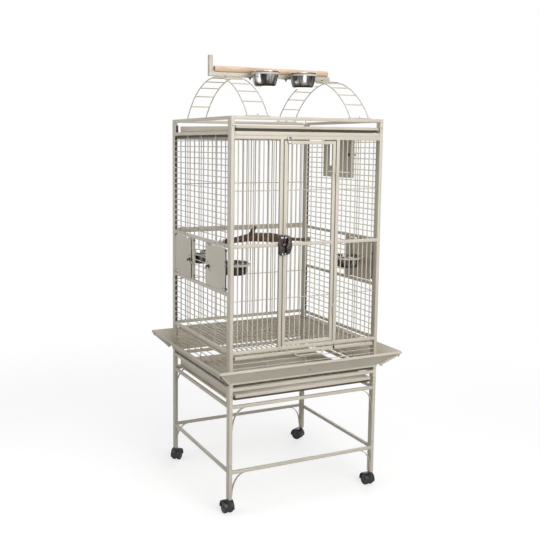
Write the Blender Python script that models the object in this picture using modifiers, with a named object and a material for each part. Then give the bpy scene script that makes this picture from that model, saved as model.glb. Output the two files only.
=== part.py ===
# Play top bird cage on a wheeled stand: barred cage with front door, feeder doors, nest box door,
# slide-out trays and grate, seed guards, and a play top with two arched ladders and a perch.
# Units are metres, +Z is up. X runs left to right across the front, the front faces -Y,
# and the origin lies on the floor under the middle of the cage.

import math

import bmesh
import bpy
from mathutils import Matrix, Vector

# Cage body
CAGE_WIDTH = 0.610
CAGE_DEPTH = 0.560
CAGE_HEIGHT = 0.9337
POST_WIDTH = 0.013
POST_DEPTH = 0.025
RAIL_HEIGHT = 0.012
RAIL_DEPTH = 0.010
RAIL_SETBACK = 0.0005
WELD = 0.001
GAP = 0.0003

# Stand
STAND_HEIGHT = 0.466
LEG_FOOT_HEIGHT = 0.058
STRETCHER_HEIGHT = 0.151
LOWER_RAIL_DROP = 0.078
UPPER_RAIL_DROP = 0.016
GUSSET_REACH = 0.052
GUSSET_DROP = 0.066
GUSSET_RADIUS = 0.0028
END_STRIP = 0.003

# Heights inside the cage, measured from the foot of its posts
BASE_RAIL_RISE = 0.003
GUARD_RISE = 0.028
GUARD_PITCH = 0.0172
GUARD_WIRES = 4
GRATE_RISE = 0.1005
BOTTOM_RAIL_RISE = 0.1135
FEEDER_RISE = 0.329
FEEDER_OPENING_HEIGHT = 0.1565
DOOR_HEAD_DROP = 0.0655
SIDE_HEAD_DROP = 0.0505

# Wires
BAR_RADIUS = 0.0021
WIRE_RADIUS = 0.0016
BAR_PITCH = 0.0196
MESH_PITCH = 0.0203
TIE_RISE = (0.299, 0.681)
SIDE_TIE_PITCH = 0.133
BAR_SIDES = 6
WIRE_SIDES = 4
RIM_BAR = 0.0055

# Front door
DOOR_OPENING_WIDTH = 0.214
DOOR_OFFSET = 0.002
DOOR_POST_WIDTH = 0.013
DOOR_CLEARANCE = 0.0035
DOOR_STILE = 0.012
DOOR_BARS = 8
HINGE_RADIUS = 0.004
HINGE_LENGTH = 0.022
HINGE_LEAF = 0.009
HINGE_LEAF_THICKNESS = 0.002
HINGE_RISE = (0.120, 0.610)

# Door lock
LOCK_HEIGHT = 0.078
LOCK_THICKNESS = 0.0115
LOCK_WIDTH = 0.028
KEEPER_WIDTH = 0.020
KEEPER_STEP = 0.0065
LEVER_THICKNESS = 0.004
LEVER_HUB_RADIUS = 0.009
LEVER_TONGUE = 0.0245
LEVER_HANDLE = 0.034
TONGUE_HALF = 0.004
TOP_LATCH_OFFSET = 0.0185
TOP_LATCH_FINGER = 0.020

# Feeder doors
FEEDER_OPENING_WIDTH = 0.180
FEEDER_STRIP = 0.0125
SHEET = 0.0015
PLATE_CLEARANCE = 0.002
PIVOT_GAP = 0.006
PIVOT_ROD_RADIUS = 0.0022
RING_RISE = 0.0805
RING_HEIGHT = 0.008
RING_WALL = 0.0032
RING_CLEARANCE = 0.0008
RING_STANDOFF = {"left": 0.022, "right": 0.0095}
RING_ARM = 0.022
RING_STEPS = 16

# Bowls
BOWL_NECK = 0.0485
BOWL_LIP = 0.0058
BOWL_BOTTOM_RADIUS = 0.040
BOWL_DEPTH = 0.046
BOWL_WALL = 0.0010
BOWL_RIM = 0.0042

# Nest box door
NEST_WIDTH = 0.176
NEST_STRIP = 0.020
NEST_OFFSET = 0.011
NEST_HEIGHT = 0.139
NEST_SLOT_WIDTH = 0.022
NEST_SLOT_HEIGHT = 0.090
NEST_SLOT_EDGE = 0.010

# Turn latches
TURN_LATCH_HUB = 0.0065
TURN_LATCH_LENGTH = 0.024
TURN_LATCH_THICKNESS = 0.003

# Seed guards
GUARD_FOOT = 0.0095
GUARD_SPREAD = 0.066
GUARD_LIFT = 0.068
GUARD_FLANGE = 0.007
GUARD_HEM = 0.009
GUARD_MITRE = 0.0010

# Trays
TRAY_SHEET = 0.0014
TRAY_SIDE_PLAY = 0.0085
TRAY_END_PLAY = 0.005
TRAY_LIP = 0.012
TRAY_RISE = 0.0135
STAND_TRAY_WALL = 0.0245
TOP_TRAY_WALL = 0.0240
TOP_TRAY_APRON = 0.012
RUNNER_WIDTH = 0.018
RUNNER_SHEET = 0.0015
HANDLE_HALF_WIDTH = 0.056
HANDLE_REACH = 0.020

# Casters
WHEEL_RADIUS = 0.0225
WHEEL_WIDTH = 0.0160
WHEEL_GAP = 0.0058
HOOD_CLEARANCE = 0.0013
HOOD_SHEET = 0.0016
HOOD_WEB = 0.0048
HOOD_DROP = 0.0065
AXLE_RADIUS = 0.0035
AXLE_PLAY = 0.0003
CASTER_TRAIL = 0.018
STEM_RADIUS = 0.0055
CASTER_TURN = {"front_left": 88.0, "front_right": 90.0, "back_left": 50.0, "back_right": 118.0}

# Play top
LADDER_INSET = 0.0875
LADDER_HALF_WIDTH = 0.039
ARCH_ANGLE = 56.0
ARCH_STEPS = 14
ARCH_RAIL_RADIUS = 0.0030
RUNG_RADIUS = 0.0024
RUNG_STEP = 10.0
RUNGS = 10
FOOT_PLATE = 0.0025
PERCH_BAR = 0.016
PERCH_BAR_INSET = (0.022, 0.052)
PERCH_POST_RISE = 0.0755
DOWEL_RADIUS = 0.011
DOWEL_INSET = (0.023, 0.009)
TOP_BOWL_PLACES = (-0.0715, 0.0875)
TOP_RING_STANDOFF = 0.0055

# Branch perch: places along a natural branch as shares of the inside's half width and half depth,
# of its fall below the middle rail's top, and of its thickest radius
BRANCH_FALL = 0.0575
BRANCH_RADIUS = 0.0185
BRANCH_ROUTE = (
    (-0.83, -0.60, 0.026, 0.54),
    (-0.595, -0.41, 0.017, 0.73),
    (-0.395, -0.25, -0.026, 0.89),
    (-0.157, -0.056, -0.183, 1.0),
    (0.082, 0.137, -0.357, 1.0),
    (0.262, 0.281, -0.513, 0.865),
    (0.400, 0.393, -0.635, 0.595),
    (0.600, 0.554, -0.791, 0.405),
    (0.880, 0.800, -1.0, 0.37),
)
BRANCH_STUB = ((-0.455, -0.30, 0.0, 0.65), (-0.350, -0.215, 0.609, 0.38))
BRANCH_ENDS = ((-0.73, 0.51), (0.875, 0.37))
BRANCH_SQUARE_END = 0.008
BRANCH_STUD = 0.0025
BRANCH_WASHER = 0.0105
BRANCH_WASHER_THICKNESS = 0.0015

# Worked out from the sizes above
HALF_WIDTH = CAGE_WIDTH / 2
HALF_DEPTH = CAGE_DEPTH / 2
CAGE_FOOT = STAND_HEIGHT + GAP
TOP_Z = CAGE_FOOT + CAGE_HEIGHT
POST_IN_X = HALF_WIDTH - POST_WIDTH
POST_IN_Y = HALF_DEPTH - POST_DEPTH
RAIL_OUT_Y = HALF_DEPTH - RAIL_SETBACK
RAIL_IN_Y = RAIL_OUT_Y - RAIL_DEPTH
RAIL_OUT_X = HALF_WIDTH - RAIL_SETBACK
RAIL_IN_X = RAIL_OUT_X - RAIL_DEPTH
BASE_RAIL_Z = CAGE_FOOT + BASE_RAIL_RISE
BOTTOM_RAIL_Z = CAGE_FOOT + BOTTOM_RAIL_RISE
BOTTOM_RAIL_TOP = BOTTOM_RAIL_Z + RAIL_HEIGHT
FEEDER_SILL = CAGE_FOOT + FEEDER_RISE
MID_RAIL_Z = FEEDER_SILL + FEEDER_OPENING_HEIGHT
MID_RAIL_TOP = MID_RAIL_Z + RAIL_HEIGHT
DOOR_HEAD = TOP_Z - DOOR_HEAD_DROP - RAIL_HEIGHT
SIDE_HEAD = TOP_Z - SIDE_HEAD_DROP - RAIL_HEIGHT
TOP_RAIL_Z = TOP_Z - RAIL_HEIGHT
GRATE_Z = CAGE_FOOT + GRATE_RISE
DOOR_LEFT = DOOR_OFFSET - DOOR_OPENING_WIDTH / 2
DOOR_RIGHT = DOOR_OFFSET + DOOR_OPENING_WIDTH / 2
WIRE_X = RAIL_IN_X + RAIL_DEPTH / 2
SIDE_SPAN = POST_IN_Y - GAP
FEEDER_FAR = SIDE_SPAN - END_STRIP
LOWER_RAIL_HEIGHT = STAND_HEIGHT - LOWER_RAIL_DROP
UPPER_RAIL_HEIGHT = STAND_HEIGHT - UPPER_RAIL_DROP
TRAY_HALF_WIDTH = POST_IN_X - TRAY_SIDE_PLAY
TRAY_HALF_DEPTH = POST_IN_Y - TRAY_END_PLAY
LADDER_SPREAD = POST_IN_X - LADDER_INSET
PERCH_BAR_LEFT = PERCH_BAR_INSET[0] - POST_IN_X
PERCH_BAR_RIGHT = POST_IN_X - PERCH_BAR_INSET[1]
DOWEL_LEFT = PERCH_BAR_LEFT + DOWEL_INSET[0]
DOWEL_RIGHT = PERCH_BAR_RIGHT - DOWEL_INSET[1]
FEEDER_NEAR = FEEDER_FAR - FEEDER_OPENING_WIDTH
TRAY_Z = LOWER_RAIL_HEIGHT + RAIL_HEIGHT + TRAY_RISE
TOP_TRAY_Z = SIDE_HEAD + RAIL_HEIGHT + GAP
RING_INNER = BOWL_NECK + RING_CLEARANCE
RING_OUTER = RING_INNER + RING_WALL
PLATE_X = RAIL_OUT_X - GAP - SHEET / 2
PIVOT_Y = FEEDER_FAR - PIVOT_GAP - PIVOT_ROD_RADIUS
ARCH_RADIUS = (RAIL_IN_Y + RAIL_DEPTH * 0.45) / math.sin(math.radians(ARCH_ANGLE))
ARCH_FOOT_Z = TOP_Z + GAP + FOOT_PLATE - 0.0007
ARCH_TOP_Z = ARCH_FOOT_Z + ARCH_RADIUS * (1 - math.cos(math.radians(ARCH_ANGLE)))
PERCH_Z = ARCH_TOP_Z + ARCH_RAIL_RADIUS + GAP

SIDES = {"left": -1, "right": 1}
FACES = {"front": -1, "back": 1}


def clear_scene():
    """Remove the objects and orphaned meshes of an older run."""
    for old in list(bpy.data.objects):
        bpy.data.objects.remove(old, do_unlink=True)
    for mesh in list(bpy.data.meshes):
        bpy.data.meshes.remove(mesh)


def make_collection(name):
    """Return an empty collection linked to the scene."""
    old = bpy.data.collections.get(name)
    if old:
        bpy.data.collections.remove(old)
    made = bpy.data.collections.new(name)
    bpy.context.scene.collection.children.link(made)
    return made


def make_material(name, colour, roughness, metallic):
    """Return a Principled material."""
    material = bpy.data.materials.get(name) or bpy.data.materials.new(name)
    material.use_nodes = True
    shader = material.node_tree.nodes["Principled BSDF"]
    shader.inputs["Base Color"].default_value = (*colour, 1.0)
    shader.inputs["Roughness"].default_value = roughness
    shader.inputs["Metallic"].default_value = metallic
    return material


def mesh_of(bm):
    """Turn a bmesh into a mesh and free it."""
    bmesh.ops.recalc_face_normals(bm, faces=bm.faces)
    mesh = bpy.data.meshes.new("shape")
    bm.to_mesh(mesh)
    bm.free()
    return mesh


def box(low, high):
    """Box between two corners."""
    low = Vector(low)
    high = Vector(high)
    bm = bmesh.new()
    scale = Matrix.Diagonal((*(high - low), 1.0))
    bmesh.ops.create_cube(bm, size=1.0, matrix=Matrix.Translation((low + high) / 2) @ scale)
    return mesh_of(bm)


def rod(start, end, radius, sides=WIRE_SIDES, end_radius=None):
    """Straight round rod between two points."""
    start = Vector(start)
    end = Vector(end)
    along = end - start
    turn = along.to_track_quat("Z", "Y").to_matrix().to_4x4()
    bm = bmesh.new()
    bmesh.ops.create_cone(
        bm, cap_ends=True, segments=sides, radius1=radius, radius2=end_radius or radius,
        depth=along.length, matrix=Matrix.Translation((start + end) / 2) @ turn)
    return mesh_of(bm)


def bent_rod(points, radius, resolution=1, cyclic=False, radii=None):
    """Round rod bent through the points."""
    curve = bpy.data.curves.new("wire", "CURVE")
    curve.dimensions = "3D"
    curve.bevel_depth = radius
    curve.bevel_resolution = resolution
    curve.use_fill_caps = True
    line = curve.splines.new("POLY")
    line.points.add(len(points) - 1)
    for index, place in enumerate(points):
        line.points[index].co = (*place, 1.0)
        line.points[index].radius = radii[index] if radii else 1.0
    line.use_cyclic_u = cyclic
    holder = bpy.data.objects.new("wire", curve)
    bpy.context.scene.collection.objects.link(holder)
    bpy.context.view_layer.update()
    mesh = bpy.data.meshes.new_from_object(holder.evaluated_get(bpy.context.evaluated_depsgraph_get()))
    bpy.data.objects.remove(holder)
    bpy.data.curves.remove(curve)
    bm = bmesh.new()
    bm.from_mesh(mesh)
    bpy.data.meshes.remove(mesh)
    bmesh.ops.remove_doubles(bm, verts=bm.verts, dist=1e-5)
    return mesh_of(bm)


def moved(mesh, matrix):
    """Move a mesh by a matrix and return it."""
    mesh.transform(matrix)
    return mesh


def join(meshes):
    """Put several meshes into one, without welding them."""
    bm = bmesh.new()
    for mesh in meshes:
        bm.from_mesh(mesh)
    joined = bpy.data.meshes.new("joined")
    bm.to_mesh(joined)
    bm.free()
    for mesh in meshes:
        bpy.data.meshes.remove(mesh)
    return joined


def combine(base, tool, operation):
    """Boolean of two meshes, with flat faces merged again afterwards."""
    base_object = bpy.data.objects.new("base", base)
    tool_object = bpy.data.objects.new("tool", tool)
    for thing in (base_object, tool_object):
        bpy.context.scene.collection.objects.link(thing)
    step = base_object.modifiers.new("weld", "BOOLEAN")
    step.operation = operation
    step.solver = "EXACT"
    step.use_self = True
    step.object = tool_object
    bpy.context.view_layer.update()
    made = bpy.data.meshes.new_from_object(
        base_object.evaluated_get(bpy.context.evaluated_depsgraph_get()))
    for thing in (base_object, tool_object):
        bpy.data.objects.remove(thing)
    bm = bmesh.new()
    bm.from_mesh(made)
    bpy.data.meshes.remove(made)
    bmesh.ops.remove_doubles(bm, verts=bm.verts, dist=1e-6)
    bmesh.ops.dissolve_limit(bm, angle_limit=math.radians(0.3), verts=bm.verts, edges=bm.edges)
    return mesh_of(bm)


def welded(shapes):
    """Weld overlapping closed shapes into one solid."""
    if len(shapes) == 1:
        return shapes[0]
    return combine(shapes[0], join(shapes[1:]), "UNION")


def cut(mesh, tools):
    """Cut closed shapes out of a solid."""
    return combine(mesh, join(tools), "DIFFERENCE")


def thickened(bm, thickness, offset):
    """Give an open surface a wall with Solidify and return the solid."""
    mesh = bpy.data.meshes.new("sheet")
    bm.to_mesh(mesh)
    bm.free()
    holder = bpy.data.objects.new("sheet", mesh)
    bpy.context.scene.collection.objects.link(holder)
    wall = holder.modifiers.new("wall", "SOLIDIFY")
    wall.thickness = thickness
    wall.offset = offset
    bpy.context.view_layer.update()
    made = bpy.data.meshes.new_from_object(holder.evaluated_get(bpy.context.evaluated_depsgraph_get()))
    bpy.data.objects.remove(holder)
    bm = bmesh.new()
    bm.from_mesh(made)
    bpy.data.meshes.remove(made)
    return mesh_of(bm)


def turned(profile, steps):
    """Turn a closed profile of (radius, height) points about Z with a Screw modifier."""
    bm = bmesh.new()
    verts = [bm.verts.new((radius, 0.0, height)) for radius, height in profile]
    for first, second in zip(verts, verts[1:]):
        bm.edges.new((first, second))
    mesh = bpy.data.meshes.new("profile")
    bm.to_mesh(mesh)
    bm.free()
    holder = bpy.data.objects.new("profile", mesh)
    bpy.context.scene.collection.objects.link(holder)
    screw = holder.modifiers.new("turn", "SCREW")
    screw.steps = steps
    screw.render_steps = steps
    screw.use_merge_vertices = True
    screw.merge_threshold = 0.00005
    bpy.context.view_layer.update()
    made = bpy.data.meshes.new_from_object(holder.evaluated_get(bpy.context.evaluated_depsgraph_get()))
    bpy.data.objects.remove(holder)
    bm = bmesh.new()
    bm.from_mesh(made)
    bpy.data.meshes.remove(made)
    bmesh.ops.remove_doubles(bm, verts=bm.verts, dist=1e-5)
    return mesh_of(bm)


def place(name, mesh, material, origin=(0.0, 0.0, 0.0), smooth=False):
    """Make the named object, with its origin where the piece turns or stands."""
    mesh.name = name
    mesh.transform(Matrix.Translation(-Vector(origin)))
    mesh.materials.clear()
    mesh.materials.append(material)
    if smooth:
        mesh.shade_smooth()
        mesh.set_sharp_from_angle(angle=math.radians(40))
    made = bpy.data.objects.new(name, mesh)
    made.location = origin
    PARTS.objects.link(made)
    return made


def evenly(low, high, pitch):
    """Places between two edges, a whole number of equal steps near the pitch apart."""
    steps = max(2, round((high - low) / pitch))
    return [low + (high - low) * index / steps for index in range(1, steps)]


def front_rail(face, low_x, high_x, low_z, depth=RAIL_DEPTH):
    """Rail of a front or back frame, set back a little from the posts' faces."""
    outer = face * RAIL_OUT_Y
    inner = face * (RAIL_OUT_Y - depth)
    return box((low_x, min(outer, inner), low_z), (high_x, max(outer, inner), low_z + RAIL_HEIGHT))


def side_rail(side, low_z, half_length):
    """Rail of a side frame."""
    outer = side * RAIL_OUT_X
    inner = side * RAIL_IN_X
    high_z = low_z + RAIL_HEIGHT
    return box((min(outer, inner), -half_length, low_z), (max(outer, inner), half_length, high_z))


def posts(face, low_z, high_z):
    """The two corner posts of a front or back frame."""
    outer = face * HALF_DEPTH
    inner = face * POST_IN_Y
    low_y = min(outer, inner)
    high_y = max(outer, inner)
    return [
        box((-HALF_WIDTH, low_y, low_z), (-POST_IN_X, high_y, high_z)),
        box((POST_IN_X, low_y, low_z), (HALF_WIDTH, high_y, high_z)),
    ]


def guard_heights():
    """Heights of the guard wires below the grate."""
    return [CAGE_FOOT + GUARD_RISE + GUARD_PITCH * index for index in range(GUARD_WIRES)]


def front_guard(face):
    """Guard wires between the corner posts, with their upright ties."""
    wire_y = face * (RAIL_OUT_Y - RAIL_DEPTH / 2)
    reach = POST_IN_X + WELD
    heights = guard_heights()
    shapes = [rod((-reach, wire_y, z), (reach, wire_y, z), WIRE_RADIUS) for z in heights]
    tie_y = wire_y - face * (2 * WIRE_RADIUS - 0.0007)
    tie_foot = BASE_RAIL_Z + RAIL_HEIGHT / 2
    for x in (-0.25 * CAGE_WIDTH, 0.0, 0.25 * CAGE_WIDTH):
        shapes.append(rod((x, tie_y, tie_foot), (x, tie_y, heights[-1] + 0.002), WIRE_RADIUS))
    return shapes


def cage_front_frame():
    """Front frame: corner posts, rails, door posts, guard wires and the frame's hinge knuckles."""
    reach = POST_IN_X + WELD
    shapes = posts(-1, CAGE_FOOT, TOP_Z)
    for z in (BASE_RAIL_Z, BOTTOM_RAIL_Z, DOOR_HEAD, TOP_RAIL_Z):
        shapes.append(front_rail(-1, -reach, reach, z))
    shapes.append(front_rail(-1, -reach, DOOR_LEFT - WELD, MID_RAIL_Z, RAIL_DEPTH - BAR_RADIUS))
    shapes.append(front_rail(-1, DOOR_RIGHT + WELD, reach, MID_RAIL_Z, RAIL_DEPTH - BAR_RADIUS))
    for low_x in (DOOR_LEFT - DOOR_POST_WIDTH, DOOR_RIGHT):
        shapes.append(box(
            (low_x, -RAIL_OUT_Y - RAIL_SETBACK / 2, BOTTOM_RAIL_Z + WELD),
            (low_x + DOOR_POST_WIDTH, -RAIL_IN_Y - WELD, DOOR_HEAD + RAIL_HEIGHT - WELD)))
    shapes += front_guard(-1)
    for rise in HINGE_RISE:
        shapes += hinge_knuckle(BOTTOM_RAIL_TOP + rise - HINGE_LENGTH - GAP / 2, 1)
    place("cage_front_frame", welded(shapes), STEEL)


def cage_back_frame():
    """Back frame: corner posts, rails and guard wires."""
    reach = POST_IN_X + WELD
    shapes = posts(1, CAGE_FOOT, TOP_Z)
    for z in (BASE_RAIL_Z, BOTTOM_RAIL_Z, DOOR_HEAD, TOP_RAIL_Z):
        shapes.append(front_rail(1, -reach, reach, z))
    shapes.append(front_rail(1, -reach, reach, MID_RAIL_Z, RAIL_DEPTH - BAR_RADIUS))
    shapes += front_guard(1)
    place("cage_back_frame", welded(shapes), STEEL)


def hinge_knuckle(low_z, toward):
    """One barrel of the front door's hinge with its leaf; toward is +1 to the post, -1 to the door."""
    axis_x = hinge_axis_x()
    axis_y = hinge_axis_y()
    high_z = low_z + HINGE_LENGTH
    leaf_end = axis_x + toward * HINGE_LEAF
    return [
        rod((axis_x, axis_y, low_z), (axis_x, axis_y, high_z), HINGE_RADIUS, 10),
        box((min(axis_x, leaf_end), -RAIL_OUT_Y - RAIL_SETBACK - HINGE_LEAF_THICKNESS, low_z + 0.002),
            (max(axis_x, leaf_end), -RAIL_OUT_Y + WELD, high_z - 0.002)),
    ]


def hinge_axis_x():
    """The front door's hinge line lies in the middle of its side gap."""
    return DOOR_RIGHT - DOOR_CLEARANCE / 2


def hinge_axis_y():
    """The front door's hinge line lies in front of the frame."""
    return -HALF_DEPTH - GAP - HINGE_RADIUS


def bar_grille(name, face, low_x, high_x):
    """Upright bars tied by cross wires, standing between the bottom rail and the head rail."""
    bar_y = face * (RAIL_IN_Y - GAP)
    tie_y = bar_y - face * (BAR_RADIUS + WIRE_RADIUS - 0.0007)
    low_z = BOTTOM_RAIL_TOP + GAP
    high_z = DOOR_HEAD - GAP
    shapes = []
    places = evenly(low_x, high_x, BAR_PITCH)
    for x in places:
        shapes.append(rod((x, bar_y, low_z), (x, bar_y, high_z), BAR_RADIUS, BAR_SIDES))
    for rise in TIE_RISE:
        z = CAGE_FOOT + rise
        shapes.append(rod((low_x + GAP, tie_y, z), (high_x - GAP, tie_y, z), WIRE_RADIUS))
    place(name, welded(shapes), STEEL)


def front_grilles():
    """Fixed bars on both sides of the front door."""
    bar_grille("front_grille_left", -1, -POST_IN_X, DOOR_LEFT - DOOR_POST_WIDTH)
    bar_grille("front_grille_right", -1, DOOR_RIGHT + DOOR_POST_WIDTH, POST_IN_X)


def back_grille():
    """Bars of the back wall."""
    bar_grille("back_grille", 1, -POST_IN_X, POST_IN_X)


def end_strips(side, low_z, high_z):
    """Flat strips that bolt a side frame to the corner posts."""
    shapes = []
    for face in FACES.values():
        outer = face * SIDE_SPAN
        inner = face * (SIDE_SPAN - END_STRIP)
        shapes.append(box(
            (min(side * RAIL_IN_X, side * HALF_WIDTH), min(outer, inner), low_z),
            (max(side * RAIL_IN_X, side * HALF_WIDTH), max(outer, inner), high_z)))
    return shapes


def runner(side, top_z):
    """Flange inside a side frame that a tray or the grate slides on."""
    outer = side * (RAIL_IN_X + WELD)
    inner = side * (RAIL_IN_X + WELD - RUNNER_WIDTH)
    return box(
        (min(outer, inner), -SIDE_SPAN + WELD, top_z - RUNNER_SHEET),
        (max(outer, inner), SIDE_SPAN - WELD, top_z))


def side_frame(name):
    """Side frame: end strips, rails, feeder frames, guard wires and runners."""
    side = SIDES[name]
    half = SIDE_SPAN - WELD
    shapes = end_strips(side, CAGE_FOOT, TOP_Z)
    for z in (BASE_RAIL_Z, BOTTOM_RAIL_Z, FEEDER_SILL - RAIL_HEIGHT, MID_RAIL_Z, SIDE_HEAD, TOP_RAIL_Z):
        shapes.append(side_rail(side, z, half))
    outer = side * (RAIL_OUT_X - GAP)
    inner = side * (RAIL_IN_X + WELD)
    for face in feeder_faces(name):
        y = face * (FEEDER_NEAR - FEEDER_STRIP / 2)
        shapes.append(box(
            (min(outer, inner), y - FEEDER_STRIP / 2, FEEDER_SILL - WELD),
            (max(outer, inner), y + FEEDER_STRIP / 2, MID_RAIL_Z + WELD)))
    low_y = -(FEEDER_NEAR - WELD) if -1 in feeder_faces(name) else -SIDE_SPAN + WELD
    high_y = FEEDER_NEAR - WELD if 1 in feeder_faces(name) else SIDE_SPAN - WELD
    for z in evenly(FEEDER_SILL, MID_RAIL_Z, MESH_PITCH):
        shapes.append(rod((side * WIRE_X, low_y, z), (side * WIRE_X, high_y, z), WIRE_RADIUS))
    for z in guard_heights():
        shapes.append(rod((side * WIRE_X, -half, z), (side * WIRE_X, half, z), WIRE_RADIUS))
    tie_x = side * (WIRE_X - 2 * WIRE_RADIUS + 0.0007)
    for y in (-SIDE_TIE_PITCH, 0.0, SIDE_TIE_PITCH):
        shapes.append(rod(
            (tie_x, y, BASE_RAIL_Z + RAIL_HEIGHT / 2), (tie_x, y, guard_heights()[-1] + 0.002), WIRE_RADIUS))
    shapes.append(runner(side, GRATE_Z - RIM_BAR / 2 - GAP))
    shapes.append(runner(side, TOP_TRAY_Z - GAP))
    if name == "right":
        shapes += nest_frame()
    place("cage_" + name + "_frame", welded(shapes), STEEL)


def feeder_faces(name):
    """Which ends of a side have a feeder door: both on the left, the front one on the right."""
    return (-1, 1) if name == "left" else (-1,)


def nest_edges():
    """Low and high edge along Y, and the sill height, of the nest box opening."""
    return NEST_OFFSET - NEST_WIDTH / 2, NEST_OFFSET + NEST_WIDTH / 2, SIDE_HEAD - NEST_HEIGHT


def nest_frame():
    """Flat strips round the nest box opening, hung from the side's head rail."""
    low_y, high_y, sill = nest_edges()
    outer = RAIL_OUT_X - GAP
    inner = RAIL_IN_X + WELD
    shapes = [box((inner, low_y - NEST_STRIP, sill - NEST_STRIP), (outer, high_y + NEST_STRIP, sill))]
    shapes.append(box((inner, low_y - NEST_STRIP, sill - WELD), (outer, low_y, SIDE_HEAD + WELD)))
    shapes.append(box((inner, high_y, sill - WELD), (outer, high_y + NEST_STRIP, SIDE_HEAD + WELD)))
    return shapes


def nest_pivot_y():
    """Pivot line of the nest box door, at the back edge of its opening."""
    return nest_edges()[1] - PLATE_CLEARANCE - PIVOT_ROD_RADIUS


def wire_panel(name, side, low_z, high_z, window=None):
    """Level wires tied by upright wires, between two rails of a side; a window leaves a gap."""
    reach = SIDE_SPAN - END_STRIP - GAP
    shapes = []
    heights = evenly(low_z, high_z, MESH_PITCH)
    for z in heights:
        spans = [(-reach, reach)]
        if window and z > window[2] - NEST_STRIP - WIRE_RADIUS - GAP:
            spans = [(-reach, window[0] - NEST_STRIP - GAP), (window[1] + NEST_STRIP + GAP, reach)]
        for low_y, high_y in spans:
            shapes.append(rod((side * WIRE_X, low_y, z), (side * WIRE_X, high_y, z), WIRE_RADIUS))
    tie_x = side * (WIRE_X - 2 * WIRE_RADIUS + 0.0007)
    for y in (-SIDE_TIE_PITCH, 0.0, SIDE_TIE_PITCH):
        top = high_z - GAP
        if window and window[0] - NEST_STRIP < y < window[1] + NEST_STRIP:
            top = window[2] - NEST_STRIP - GAP
        shapes.append(rod((tie_x, y, low_z + GAP), (tie_x, y, top), WIRE_RADIUS))
    place(name, welded(shapes), STEEL)


def side_grilles():
    """The four panels of level wires in the side walls."""
    for name, side in SIDES.items():
        window = nest_edges() if name == "right" else None
        wire_panel(name + "_grille_upper", side, MID_RAIL_TOP, SIDE_HEAD, window)
        wire_panel(name + "_grille_lower", side, BOTTOM_RAIL_TOP, FEEDER_SILL - RAIL_HEIGHT)


def roof_grille():
    """Roof bars inside a rod frame, between the front and back head rails."""
    z = DOOR_HEAD + RAIL_HEIGHT / 2
    reach_y = RAIL_IN_Y - GAP
    reach_x = POST_IN_X - GAP
    shapes = flat_frame(reach_x, -reach_y, reach_y, z)
    for x in evenly(-reach_x, reach_x, BAR_PITCH):
        shapes.append(rod((x, -reach_y + RIM_BAR / 2, z), (x, reach_y - RIM_BAR / 2, z), BAR_RADIUS))
    place("roof_grille", welded(shapes), STEEL)


def flat_frame(half_x, low_y, high_y, z):
    """Four square bars that make a flat frame, the side bars a little thinner than the end bars."""
    thick = RIM_BAR / 2
    thin = thick - 0.0003
    shapes = []
    for y in (low_y, high_y - RIM_BAR):
        shapes.append(box((-half_x, y, z - thick), (half_x, y + RIM_BAR, z + thick)))
    for x in (-half_x + 0.0002, half_x - RIM_BAR - 0.0002):
        shapes.append(box((x, low_y + WELD, z - thin), (x + RIM_BAR, high_y - WELD, z + thin)))
    return shapes


def seed_guard(name, along_x, face):
    """One flared sheet of the seed catcher: foot flange, slope and folded hem, mitred at both ends."""
    half = HALF_WIDTH if along_x else HALF_DEPTH
    wall = (HALF_DEPTH if along_x else HALF_WIDTH) + GAP + SHEET / 2
    foot = CAGE_FOOT + GUARD_FOOT
    profile = [
        (0.0, foot),
        (0.0, foot + GUARD_FLANGE),
        (GUARD_SPREAD, foot + GUARD_LIFT),
        (GUARD_SPREAD + 0.0015, foot + GUARD_LIFT - GUARD_HEM),
    ]
    bm = bmesh.new()
    rows = []
    for out, z in profile:
        end = half + GAP + SHEET / 2 + out - GUARD_MITRE
        row = []
        for x in (-end, end):
            y = face * (wall + out)
            row.append(bm.verts.new((x, y, z) if along_x else (y, x, z)))
        rows.append(row)
    for low, high in zip(rows, rows[1:]):
        bm.faces.new((low[0], low[1], high[1], high[0]))
    place("seed_guard_" + name, thickened(bm, SHEET, 0.0), STEEL)


def seed_guards():
    """The four seed guards."""
    seed_guard("front", True, -1)
    seed_guard("back", True, 1)
    seed_guard("left", False, -1)
    seed_guard("right", False, 1)


def pan(half_x, low_y, high_y, low_z, wall):
    """Open sheet pan as one solid: a block with its inside cut out."""
    block = box((-half_x, low_y, low_z), (half_x, high_y, low_z + wall))
    inside = box(
        (-half_x + TRAY_SHEET, low_y + TRAY_SHEET, low_z + TRAY_SHEET),
        (half_x - TRAY_SHEET, high_y - TRAY_SHEET, low_z + wall + 0.01))
    return cut(block, [inside])


def tray_lip(half_x, low_y, low_z):
    """Rolled grip along a tray's front, reaching to the face of the frame."""
    return box((-half_x, -RAIL_OUT_Y, low_z), (half_x, low_y + WELD, low_z + TRAY_LIP))


def stand_tray():
    """Waste tray that slides out of the stand."""
    shapes = [pan(TRAY_HALF_WIDTH, -TRAY_HALF_DEPTH, TRAY_HALF_DEPTH, TRAY_Z, STAND_TRAY_WALL)]
    shapes.append(tray_lip(TRAY_HALF_WIDTH - 0.002, -TRAY_HALF_DEPTH, TRAY_Z + STAND_TRAY_WALL - TRAY_LIP))
    place("stand_tray", welded(shapes), STEEL)


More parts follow.
